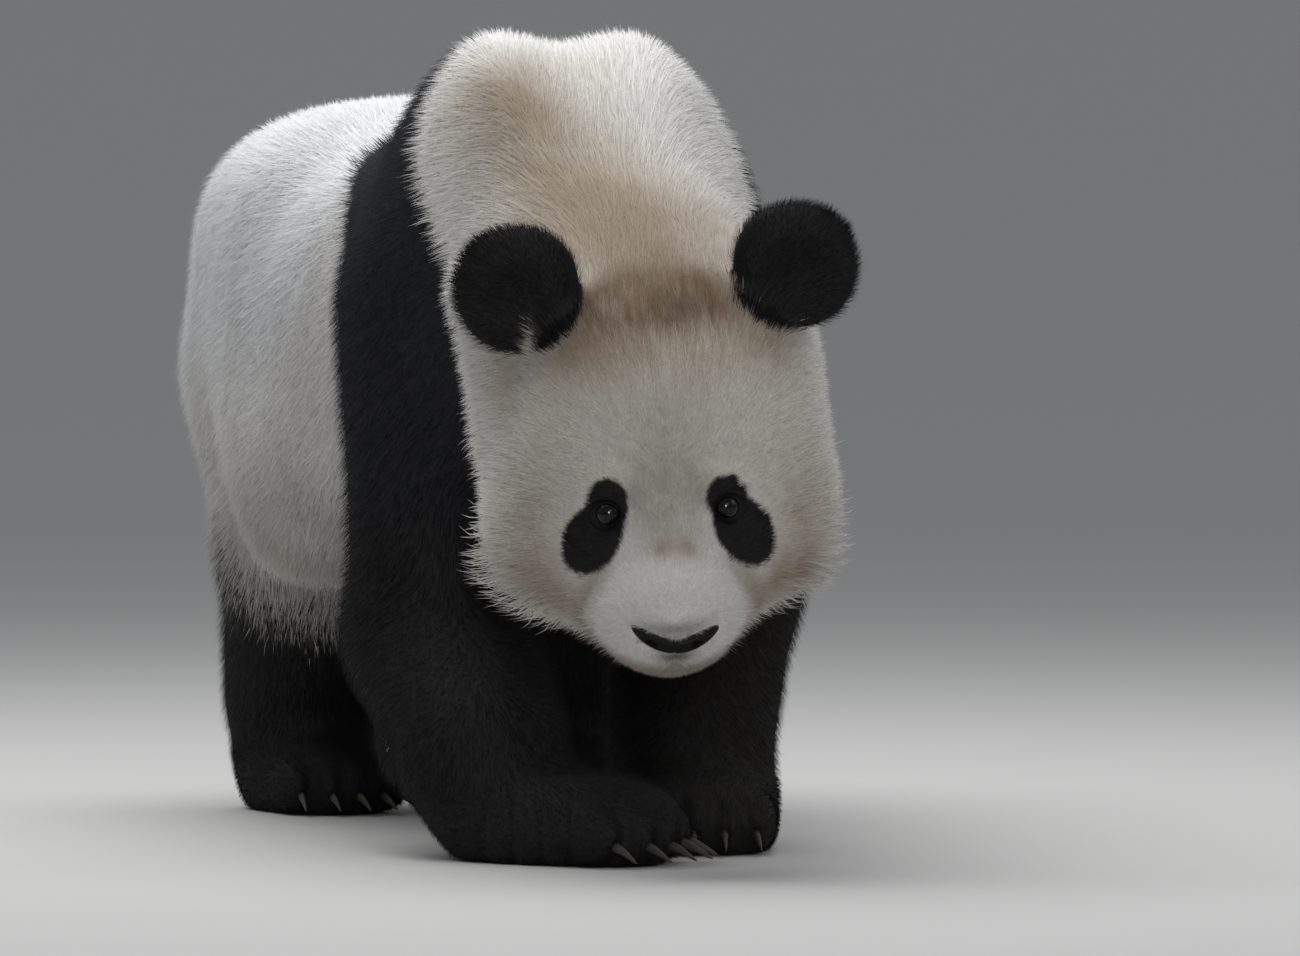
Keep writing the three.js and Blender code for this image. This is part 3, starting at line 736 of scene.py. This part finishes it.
def lie(p, n, s):
    """Which way the coat lies, along the skin. It fans out from the nose over the head, runs back along
    the neck and trunk and down their sides, down the legs and forward over the toes."""
    q = to_head(p)
    from_nose = q - NOSE - np.array([0, 26, 6]) * MM
    way = s["head"][:, None] * (unit(from_nose) @ HEAD_TURN.T)
    x = np.where(q[:, 0] > 0, 1, -1)
    ear_root = np.stack([x * 84, np.full(len(x), 20), np.full(len(x), 104)], -1) * MM
    way += s["ears"][:, None] * (unit(q - ear_root) @ HEAD_TURN.T)
    down = np.zeros_like(p)
    down[:, 2] = -np.abs(n[:, 0])
    way += s["neck"][:, None] * unit(np.array([0, 1.0, 0.1]) + 1.1 * down)
    way += s["trunk"][:, None] * unit(np.array([0, 0.9, 0.0]) + 1.4 * down)
    way += s["tail"][:, None] * np.array([0, 0.2, -1.0])
    for name, leg in LEGS.items():
        ahead = turned(0, 0, leg["yaw"]) @ np.array([0, -1.0, -0.25])
        low = smooth(95, 45, p[:, 2] / MM)[:, None]
        back = np.array([0, 0.35, -1.0]) if name.startswith("fore") else np.array([0, 0.15, -1.0])
        way += s[name][:, None] * (low * ahead + (1 - low) * unit(back))
    way += 0.02
    flat = way - n * (way * n).sum(-1, keepdims=True)
    return unit(flat)


def triangles_of(piece):
    """The piece's triangles: their corner points, corner normals and corner places on its OFBake map."""
    mesh = piece.data
    mesh.calc_loop_triangles()
    corners = np.empty(len(mesh.loop_triangles) * 3, np.int32)
    mesh.loop_triangles.foreach_get("loops", corners)
    loop_points = np.empty(len(mesh.loops), np.int32)
    mesh.loops.foreach_get("vertex_index", loop_points)
    places = np.empty(len(mesh.loops) * 2, np.float32)
    mesh.uv_layers["OFBake"].data.foreach_get("uv", places)
    at = np.empty(len(mesh.vertices) * 3, np.float32)
    mesh.vertices.foreach_get("co", at)
    facing = np.empty(len(mesh.vertices) * 3, np.float32)
    mesh.vertices.foreach_get("normal", facing)
    index = loop_points[corners].reshape(-1, 3)
    return (at.reshape(-1, 3)[index] - PLACE, facing.reshape(-1, 3)[index],
            places.reshape(-1, 2)[corners].reshape(-1, 3, 2))


def coat_sizes(p, s, deep):
    """Each tuft's length, width and how many grow on a square metre: a tuft is about one and a half times
    as long as the coat is deep, a twentieth as wide, and together they cover the skin about once."""
    length = 1.4 * deep + 3 * MM
    width = 0.32 * MM + 0.036 * length
    cover = 1.24 + 0.44 * s["head"] - 0.45 * darkness(p, s) * (1 - s["head"]) * (1 - s["ears"])
    return length, width, cover / (0.5 * length * width)


def rooted():
    """Roots for all tufts, spread over the skin by area and by how thickly the coat grows there."""
    corner, facing, place = triangles_of(skin)
    middle = corner.mean(1)
    s = shares(zones(middle))
    density = coat_sizes(middle, s, depth(middle, s))[2]
    area = np.linalg.norm(np.cross(corner[:, 1] - corner[:, 0], corner[:, 2] - corner[:, 0]), axis=-1) / 2
    q = to_head(middle)
    for side in SIDES:
        eye = np.linalg.norm(q - EYES[side], axis=-1) / MM
        density = density * smooth(13.0, 15.0, eye)
        density = density * (1 - 0.8 * bell(lips(q, side) / (3 * MM)))
    density = density * (nose_reach(q) > 1)
    density = density * (middle[:, 2] > (FLOOR_GAP + 1) * MM)
    wanted = np.cumsum(area * density)
    steps = np.arange(0.5, wanted[-1]) + RANDOM.uniform(-0.5, 0.5, int(wanted[-1] + 0.5))
    picks = np.clip(np.searchsorted(wanted, steps), 0, len(area) - 1)
    a, b = RANDOM.uniform(size=(2, len(picks)))
    over = a + b > 1
    a, b = np.where(over, 1 - a, a), np.where(over, 1 - b, b)
    weight = np.stack([1 - a - b, a, b], -1)[..., None]
    return ((corner[picks] * weight).sum(1), unit((facing[picks] * weight).sum(1)),
            (place[picks] * weight).sum(1))


root, root_normal, root_place = rooted()
coat_s = shares(zones(root))
coat_depth = depth(root, coat_s)
length, width, _ = coat_sizes(root, coat_s, coat_depth)
count = len(root)

# Hanging hair: below the cheeks, under the belly, behind the thighs and forearms, on the tail, and
# behind the right wrist
root_head = to_head(root) / MM
WRIST = (-184, -325, 102)
GUARD_SHARE = 0.10  # of the tufts stand out from the rest, longer and thinner
BENT_FROM = 30 * MM
jaw = coat_s["head"] * smooth(-45, -105, root_head[:, 2]) * smooth(40, -20, root_head[:, 1])
hang = 0.5 * jaw + 0.6 * coat_s["trunk"] * smooth(-0.3, -0.8, root_normal[:, 2]) + 0.5 * coat_s["tail"]
hang += 0.45 * smooth(0.2, 0.8, root_normal[:, 1]) * smooth(70, 130, root[:, 2] / MM) * (1 - coat_s["head"])
hang += 3.2 * spot(root, WRIST, 30)
fringe = jaw * smooth(0.5, -0.1, root_normal[:, 2]) * smooth(25, 70, np.abs(root_head[:, 0]))
guard = RANDOM.uniform(size=count) < GUARD_SHARE + 0.06 * fringe
clump = 1 + 0.16 * ripple(root, 0.016, 61) + 0.12 * ripple(root, 0.045, 62)
length = length * RANDOM.uniform(0.80, 1.15, count) * (1 + 0.5 * hang)
length = length * np.where(guard, 1.3 + 0.6 * fringe, 1)
width = width * RANDOM.uniform(0.75, 1.25, count) * np.where(guard, 0.6 + 0.6 * fringe, 1)
rise = coat_depth * (0.30 + 0.70 * RANDOM.uniform(size=count) ** 0.7) * clump * (1 + 0.3 * hang)
rise = np.minimum(np.where(guard, 1.2 + 1.2 * fringe, 0.95) * rise, length * 0.85)
run = np.sqrt(np.maximum(length ** 2 - rise ** 2, (0.3 * length) ** 2))
long_tuft = length > BENT_FROM

way = lie(root, root_normal, shares(zones(root), 50))
beside = np.cross(root_normal, way)
swing = 0.20 * ripple(root, 0.09, 51) + 0.16 * ripple(root, 0.024, 52) + 0.12 * ripple(root, 0.009, 53)
swing = swing + RANDOM.normal(0, 0.12, count)
way, beside = (way * np.cos(swing)[:, None] + beside * np.sin(swing)[:, None],
               beside * np.cos(swing)[:, None] - way * np.sin(swing)[:, None])

# The markings are read at each tuft's middle, so that its tip doesn't carry them past their edge
middle = root + 0.55 * run[:, None] * way + 0.5 * rise[:, None] * root_normal
is_dark = RANDOM.uniform(size=count) < darkness(middle, coat_s)
strand = 1 + 0.12 * RANDOM.normal(size=(count, 1)) + 0.07 * ripple(root, 0.007, 71)[:, None]
light = white_coat(middle, coat_s) * strand.clip(0.66, 1.20)
deepest = black_coat(middle, coat_s) * (1 + 0.35 * RANDOM.normal(size=(count, 1))).clip(0.5, 2.2)
tuft_colour = np.where(is_dark[:, None], deepest, light).clip(0, 0.95)


ROOT_DEEP = 2 * MM  # how far under the skin a tuft starts
MAP_SIZE = 0.0015  # half the room that a tuft takes on its OFBake map
PIECE_TRIANGLES = 190000  # at most, in one piece of the coat


def grown(pick, bent):
    """Joined tufts as points, faces, normals, colours and map places. A tuft is a three-sided spike that
    starts under the skin: a straight one runs to its tip, and a bent one has a second ring at half its
    run and most of its rise, so that it lies down towards its tip."""
    n, t, b = root_normal[pick], way[pick], beside[pick]
    w, r, h = width[pick, None], run[pick, None], rise[pick, None]
    base = root[pick] - ROOT_DEEP * n
    rings = [(base, 1.0)]
    if bent:
        rings.append((root[pick] + 0.45 * r * t + 0.70 * h * n, 0.85))
    tip = root[pick] + r * t + h * n
    tip[:, 2] = np.maximum(tip[:, 2], FLOOR_GAP * MM)
    rows, facing, shade, place = [], [], [], []
    for number, (centre, girth) in enumerate(rings):
        for across, up in ((-0.5, 0), (0.5, 0), (0, 0.30)):
            rows.append(centre + girth * w * (across * b + up * n))
            facing.append(unit(n + 0.25 * across * b + 0.06 * t))
            # Painted shade and light: each tuft is darker at its root ring, and lighter at its tip below
            shade.append(tuft_colour[pick] * (0.92, 1.0)[number])
            place.append(root_place[pick] + MAP_SIZE * np.array([2 * across, number - 1.0 + 0.4 * up]))
    rows.append(tip)
    facing.append(unit(n + 0.15 * t))
    # Painted light: the tip a little lighter
    shade.append(tuft_colour[pick] * 1.03)
    place.append(root_place[pick] + np.array([0, MAP_SIZE]))
    corners = len(rows)
    end, last = corners - 1, corners - 4
    faces3 = [(0, 2, 1), (last, last + 1, end), (last + 1, last + 2, end), (last + 2, last, end)]
    starts = (np.arange(len(pick)) * corners)[:, None, None]
    faces = [(starts + np.array(faces3)).reshape(-1, 3)]
    if bent:
        faces4 = np.array([(0, 1, 4, 3), (1, 2, 5, 4), (2, 0, 3, 5)])
        faces.append((starts + faces4).reshape(-1, 4))
    together = lambda parts: np.stack(parts, 1).reshape(-1, parts[0].shape[-1])
    return together(rows), faces, together(facing), together(shade), together(place)


REGIONS = list(coat_s)
region = np.argmax(np.stack([coat_s[name] for name in REGIONS]), 0)
coats = {"white": [], "black": []}
for number, name in enumerate(REGIONS):
    for shade_name, dark_ones in (("white", False), ("black", True)):
        for kind, bent, each in (("long", True, 10), ("short", False, 4)):
            chosen = np.flatnonzero((region == number) & (is_dark == dark_ones) & (long_tuft == bent))
            if not len(chosen):
                continue
            chosen = chosen[np.argsort(root[chosen, 1])]
            parts = math.ceil(len(chosen) * each / PIECE_TRIANGLES)
            for part, pick in enumerate(np.array_split(chosen, parts), 1):
                shape, faces, facing, shade, place = grown(pick, bent)
                made = new_mesh(f"{shade_name}_{name}_{kind}_{part}", shape, faces,
                                uv=place, colours=shade, normals=facing)
                coats[shade_name].append(made)

# ---- Eyes and lids ----

EYE_TURN = {side: turned(-27, 0, side * 14) for side in SIDES}
IRIS_ANGLE, PUPIL_ANGLE = 0.45, 0.24  # from the middle of the eye's front, in radians


def by_eye(local, side):
    """Points given about an eye, +Y into the head, moved to their place."""
    return from_head(local @ EYE_TURN[side].T * MM + EYES[side])


def eyeball():
    """A ball as rings from its front pole to the back: the angle from the front at each point as well."""
    polar = np.linspace(0.02, np.pi - 0.02, 34)[:, None]
    round_ = np.linspace(0, 2 * np.pi, 48, endpoint=False)[None]
    x = EYE_R * np.sin(polar) * np.cos(round_)
    z = EYE_R * np.sin(polar) * np.sin(round_)
    y = -EYE_R * np.cos(polar) + 0 * round_
    return np.stack([x, y, z], -1), polar + 0 * round_


def lids(side):
    """The two lids as one ring round the eye. Its section, from the opening outwards, starts inside the
    ball, rounds the lid's edge, follows the ball and runs in under the skin. The opening is an oval,
    drawn to a point at the inner corner."""
    round_ = np.linspace(0, 2 * np.pi, 72, endpoint=False)
    inner = bell((round_ - np.pi) / 0.42) if side > 0 else \
        bell(np.minimum(round_, 2 * np.pi - round_) / 0.42)
    upper = np.sin(round_).clip(0)
    wide, tall = OPENING_WIDE + 1.2 * inner, OPENING_TALL - 0.1 * np.sin(round_)
    opening = 1 / np.sqrt((np.cos(round_) / wide) ** 2 + (np.sin(round_) / tall) ** 2)
    over = lambda r, lift: np.sqrt(np.maximum((EYE_R + lift) ** 2 - r ** 2, 0.5))
    section = [
        (opening - 0.7, over(opening - 0.7, 0) - 1.0),
        (opening - 0.3, over(opening - 0.3, 0.5)),
        *((opening + out, over(opening + out, lift + 0.1 * upper))
          for out, lift in ((0, 0.9), (0.6, 1.2), (1.5, 1.3))),
        (opening + 2.6, np.maximum(over(opening + 2.6, 1.2), 2.6)),
        *((opening + out, high + 0 * opening)
          for out, high in ((4.4, 1.4), (7.4, -1.4), (7.2, -5.0), (2.0, -5.0), (-2.0, -1.0))),
    ]
    return np.stack([np.stack([r * np.cos(round_), -h, r * np.sin(round_)], -1) for r, h in section])


for name, side in (("right", -1), ("left", 1)):
    rings, polar = eyeball()
    shape, faces = ringed(by_eye(rings, side))
    from_front = np.append(polar.ravel(), [0, np.pi])
    iris = smooth(IRIS_ANGLE + 0.05, IRIS_ANGLE - 0.05, from_front)
    pupil = smooth(PUPIL_ANGLE + 0.02, PUPIL_ANGLE - 0.02, from_front)
    ring = 0.5 + 0.5 * np.cos(np.append((np.arctan2(rings[..., 2], rings[..., 0]) * 23).ravel(), [0, 0]))
    white_of_eye = np.tile([0.005, 0.004, 0.004], (len(shape), 1))
    colour = mix(white_of_eye, np.array([0.008, 0.0045, 0.003]), iris * (0.6 + 0.4 * ring))
    colour = mix(colour, np.array([0.001, 0.001, 0.001]), pupil)
    new_mesh(f"eyeball_{name}", shape, faces, (f"eye_{name}",), colours=colour)
    rings = lids(side)
    shape, faces = ringed(by_eye(rings, side), wrap=True)
    new_mesh(f"lids_{name}", shape, faces)

# ---- Nose pad ----

def nose_pad():
    """Rings from behind the rim to the middle of the pad. The outline is a wide superellipse bent upward
    at its ends and dipped at the top of its middle. It bulges as a half round, wraps backwards at its
    ends, and is dented by two comma-shaped nostrils and the groove between them."""
    reach = np.concatenate([[0.80, 0.98], np.linspace(1.0, 0.015, 46)])[:, None]
    sunk = np.concatenate([[13.0, 6.0], np.zeros(46)])[:, None]
    round_ = np.linspace(0, 2 * np.pi, 132, endpoint=False)[None]
    swell = lambda turn: np.sign(turn) * np.abs(turn) ** 0.85
    x = PAD_WIDE * reach * swell(np.cos(round_))
    z = PAD_TALL * reach * swell(np.sin(round_))
    x = x * (1 - 0.08 * smooth(2, -10, z))
    z = z * np.where(z < 0, 0.85, 1) - 4.5 * bell(x / PAD_DIP_REACH) * smooth(0, 9, z)
    z = z + PAD_CURVE * x ** 2 + PAD_MIDDLE
    dome = PAD_BULGE * np.sqrt(np.maximum(1 - (0.985 * reach) ** 2.4, 0.0))
    y = -dome + sunk + 9.5 * (x / 38) ** 2
    for side in SIDES:
        hole = np.exp(-((((x - side * 19.5) / 4.8) ** 2 + ((z + 6.5) / 3.2) ** 2) ** 1.6))
        slope = 0.35 * np.abs(x - side * 19)
        slit = np.exp(-(((x - side * 26.0) / 6.0) ** 2 + ((z + 6.0 - slope) / 1.7) ** 2))
        wing = np.exp(-((((x - side * 20) / 9) ** 2 + ((z + 0.5) / 2.6) ** 2)))
        y = y + 7.0 * hole * (reach < 0.99) + 2.5 * slit - 1.0 * wing
    y = y + 2.0 * bell(x / 1.5) * smooth(-4, -12, z)
    return np.stack([x, y, z + 0 * x], -1)


PAD_TURN = NOSE_TURN @ turned(-6, 0, 0)
local = nose_pad() @ PAD_TURN.T * MM + NOSE + np.array([0, -2.0, 0]) * MM
shape, faces = ringed(from_head(local)[:, ::-1])
new_mesh("nose_pad", shape, faces, ("nose",))

# ---- Claws ----

def claw():
    """Rings of a hook that tapers by the three-quarter power of what is left, flattened at the sides,
    bent down by the square of the way along, and ridged along its top."""
    along = np.linspace(0, 1, 22)[:, None]
    round_ = np.linspace(0, 2 * np.pi, 20, endpoint=False)[None]
    radius = CLAW_R * (1 - along * 0.985) ** 0.75
    x = 0.78 * radius * np.cos(round_)
    z = radius * (1.05 * np.sin(round_) + 0.12 * np.sin(round_).clip(0) ** 4) - CLAW_HOOK * along ** 2
    y = 22 - CLAW_LENGTH * along + 0 * round_ - 2.0 * along * np.sin(round_)
    return np.stack([x, y, z], -1)


for name, leg in LEGS.items():
    end, side_name = name.split("_")
    shapes, rows, total, nodes = [], [], 0, []
    for toe in TOES:
        x, y, _ = toe_at(leg, toe)
        local = claw() @ (turned(0, 0, toe * 7) @ turned(10, 0, 0)).T + (x, y - 36, 19)
        place = (local * MM) @ turned(0, 0, leg["yaw"]).T + np.multiply(leg["at"], MM)
        shape, faces = ringed(place[:, ::-1])
        shapes.append(shape)
        rows.append([block + total for block in faces])
        total += len(shape)
        nodes.append(f"{end}claw_{side_name}_{toe + 3}")
    faces = [np.concatenate(blocks) for blocks in zip(*rows)]
    new_mesh(f"claws_{name}", np.concatenate(shapes), faces, tuple(nodes))

# ---- Materials ----

def with_inputs(node, **values):
    """A node with its inputs set by name."""
    for socket, value in values.items():
        node.inputs[socket.replace("_", " ")].default_value = value
    return node


def new_node(tree, kind, **values):
    """A new shader node in a tree, with its inputs set by name."""
    return with_inputs(tree.nodes.new(f"ShaderNode{kind}"), **values)


def join(tree, one, out, other, into):
    """Links one node's output to another's input, both by name."""
    tree.links.new(one.outputs[out], other.inputs[into])


def material(name, roughness, **settings):
    """A new material with one Principled shader; settings are its sockets by name."""
    made = bpy.data.materials.new(name)
    made.use_nodes = True
    shader = made.node_tree.nodes["Principled BSDF"]
    return made, made.node_tree, with_inputs(shader, Roughness=roughness, **settings)


def grain_group():
    """Fine variation on Object coordinates: a mottled factor and a bumped normal, at a given scale."""
    group = bpy.data.node_groups.new("fine_grain", "ShaderNodeTree")
    for socket, kind, way in (("Scale", "Float", "INPUT"), ("Height", "Float", "INPUT"),
                              ("Mottle", "Float", "OUTPUT"), ("Normal", "Vector", "OUTPUT")):
        group.interface.new_socket(socket, in_out=way, socket_type=f"NodeSocket{kind}")
    entry, leave = group.nodes.new("NodeGroupInput"), group.nodes.new("NodeGroupOutput")
    coordinates = new_node(group, "TexCoord")
    noise = new_node(group, "TexNoise", Detail=4)
    bump = new_node(group, "Bump", Distance=0.001)
    join(group, coordinates, "Object", noise, "Vector")
    join(group, entry, "Scale", noise, "Scale")
    join(group, noise, "Fac", bump, "Height")
    join(group, entry, "Height", bump, "Strength")
    join(group, noise, "Fac", leave, "Mottle")
    join(group, bump, "Normal", leave, "Normal")
    return group


GRAIN = grain_group()


def grain_node(tree, scale, height):
    """The grain group as a node of a material."""
    node = new_node(tree, "Group")
    node.node_tree = GRAIN
    return with_inputs(node, Scale=scale, Height=height)


def grained(tree, shader, scale, height):
    """Places the grain group in a material and takes its normal."""
    node = grain_node(tree, scale, height)
    join(tree, node, "Normal", shader, "Normal")
    return node


def coloured(tree, shader, grain=None, low=0.85, high=1.12):
    """Base colour from the piece's own coat attribute, varied by the grain between low and high."""
    colour = new_node(tree, "Attribute")
    colour.attribute_name = "coat"
    if grain is None:
        join(tree, colour, "Color", shader, "Base Color")
        return
    spread = new_node(tree, "MapRange", From_Min=0.3, From_Max=0.7, To_Min=low, To_Max=high)
    scaled = new_node(tree, "VectorMath")
    scaled.operation = "SCALE"
    join(tree, grain, "Mottle", spread, "Value")
    join(tree, colour, "Color", scaled, 0)
    join(tree, spread, "Result", scaled, "Scale")
    join(tree, scaled, "Vector", shader, "Base Color")


def coat_material(name, roughness, gloss, sheen, tint):
    """Hair: colour from the markings with a fine mottle, rough, with a soft sheen."""
    made, tree, shader = material(name, roughness, Specular_IOR_Level=gloss, Sheen_Weight=sheen,
                                  Sheen_Roughness=0.45, Sheen_Tint=tint)
    coloured(tree, shader, grain_node(tree, 260, 0), 0.9, 1.08)
    return made


hair = {"white": coat_material("white_hair", 0.75, 0.22, 0.04, (1, 0.98, 0.96, 1)),
        "black": coat_material("black_hair", 0.60, 0.07, 0.02, (0.80, 0.86, 1, 1))}
bare_skin, tree, shader = material("bare_skin", 0.78, Specular_IOR_Level=0.25)
coloured(tree, shader, grained(tree, shader, 420, 0.8), 0.88, 1.10)
lid_skin, tree, shader = material("lid_skin", 0.62, Specular_IOR_Level=0.10,
                                  Base_Color=(0.006, 0.0055, 0.0055, 1))
grained(tree, shader, 900, 0.35)
wet_eye, tree, shader = material("wet_eye", 0.10, Specular_IOR_Level=0.24)
coloured(tree, shader)
nose_skin, tree, shader = material("nose_skin", 0.55, Specular_IOR_Level=0.10,
                                   Base_Color=(0.0055, 0.0052, 0.0055, 1))
pebbles = new_node(tree, "TexVoronoi", Scale=620)
place = new_node(tree, "TexCoord")
bump = new_node(tree, "Bump", Strength=0.55, Distance=0.0008)
join(tree, place, "Object", pebbles, "Vector")
join(tree, pebbles, "Distance", bump, "Height")
join(tree, bump, "Normal", shader, "Normal")
horn, tree, shader = material("horn", 0.5, Specular_IOR_Level=0.2)
grain = grained(tree, shader, 300, 0.3)
ramp = new_node(tree, "ValToRGB")
ramp.color_ramp.elements[0].color = (0.030, 0.026, 0.022, 1)
ramp.color_ramp.elements[1].color = (0.125, 0.108, 0.088, 1)
join(tree, grain, "Mottle", ramp, "Fac")
join(tree, ramp, "Color", shader, "Base Color")

skin.data.materials.append(bare_skin)
for shade_name, made in coats.items():
    for coat in made:
        coat.data.materials.append(hair[shade_name])
FINISHES = {"eyeball_": wet_eye, "lids_": lid_skin, "nose_pad": nose_skin, "claws_": horn}
for piece in bpy.data.objects:
    for start, made in FINISHES.items():
        if piece.name.startswith(start):
            piece.data.materials.append(made)

# ---- Floor, light and camera ----

def floor():
    """A plain pale floor, a disc 80 m across that rises from 9 m out by the square of the way, 3 m in all,
    so that it has no edge behind the animal."""
    steps = 96
    away = np.concatenate([[2, 5], np.linspace(8, 40, 40)])[:, None]
    round_ = np.linspace(0, 2 * np.pi, steps, endpoint=False)[None]
    height = 3.0 * (np.maximum(away - 9, 0) / 31) ** 2 + 0 * round_
    rings = np.stack([away * np.cos(round_), away * np.sin(round_), height], -1)
    centre = np.array([[0, 0, 0.0]])
    row = np.arange(steps)
    at = lambda ring, step: ring * steps + (row + step) % steps
    quads = [np.stack([at(ring, 0), at(ring + 1, 0), at(ring + 1, 1), at(ring, 1)], -1)
             for ring in range(len(away) - 1)]
    hub = np.stack([at(0, 0), at(0, 1), np.full(steps, len(away) * steps)], -1)
    mesh = bpy.data.meshes.new("floor")
    mesh.from_pydata(np.concatenate([rings.reshape(-1, 3), centre]).tolist(), [],
                     np.concatenate(quads).tolist() + hub.tolist())
    mesh.polygons.foreach_set("use_smooth", np.ones(len(mesh.polygons), bool))
    made = bpy.data.objects.new("floor", mesh)
    bpy.context.scene.collection.objects.link(made)
    matt, tree, shader = material("plaster_floor", 0.85, Base_Color=(0.56, 0.555, 0.545, 1),
                                  Specular_IOR_Level=0.2)
    grained(tree, shader, 60, 0.05)
    made.data.materials.append(matt)


def lamp(name, at, towards, size, watts):
    """A soft light, as wide and tall as size says, at a point and facing another."""
    light = bpy.data.lights.new(name, "AREA")
    light.shape = "RECTANGLE"
    light.size, light.size_y = size
    light.energy = watts
    made = bpy.data.objects.new(name, light)
    made.location = at
    made.rotation_euler = (Vector(towards) - Vector(at)).to_track_quat("-Z", "Y").to_euler()
    bpy.context.scene.collection.objects.link(made)
    return made


floor()
lamp("sky_light", (-0.5, 0.4, 3.4), (0, -0.1, 0.4), (3.6, 3.6), 128)
lamp("eye_light", (-0.95, -5.6, 1.15), (0, -0.7, 0.35), (0.5, 1.2), 120).visible_diffuse = False
lamp("front_light", (0.1, -4.8, 1.9), (0, -0.6, 0.35), (2.0, 2.0), 22)
lamp("side_light", (3.0, -1.6, 2.2), (0.1, -0.4, 0.4), (2.0, 2.0), 14)
world = bpy.data.worlds.new("studio")
world.use_nodes = True
with_inputs(world.node_tree.nodes["Background"], Color=(0.80, 0.83, 0.86, 1), Strength=0.37)
bpy.context.scene.world = world

AZIMUTH, ELEVATION, DISTANCE = math.radians(11), math.radians(1.5), 10.0
LENS = 299.1  # millimetres, on a 36 mm frame
ahead = np.array([math.sin(AZIMUTH) * math.cos(ELEVATION), math.cos(AZIMUTH) * math.cos(ELEVATION),
                  -math.sin(ELEVATION)])
right = np.array([math.cos(AZIMUTH), -math.sin(AZIMUTH), 0])
up = np.cross(right, ahead)
aim = np.array([0, -0.28, 0.40]) + PLACE + 0.0759 * right - 0.0537 * up
camera_data = bpy.data.cameras.new("camera")
camera_data.lens = LENS
camera_data.sensor_width = 36
camera_data.clip_end = 60
camera = bpy.data.objects.new("camera", camera_data)
turn = Matrix((right.tolist(), up.tolist(), (-ahead).tolist())).transposed().to_4x4()
camera.matrix_world = Matrix.Translation(Vector(aim - DISTANCE * ahead)) @ turn
bpy.context.scene.collection.objects.link(camera)
bpy.context.scene.camera = camera
bpy.context.scene.view_settings.view_transform = "Standard"
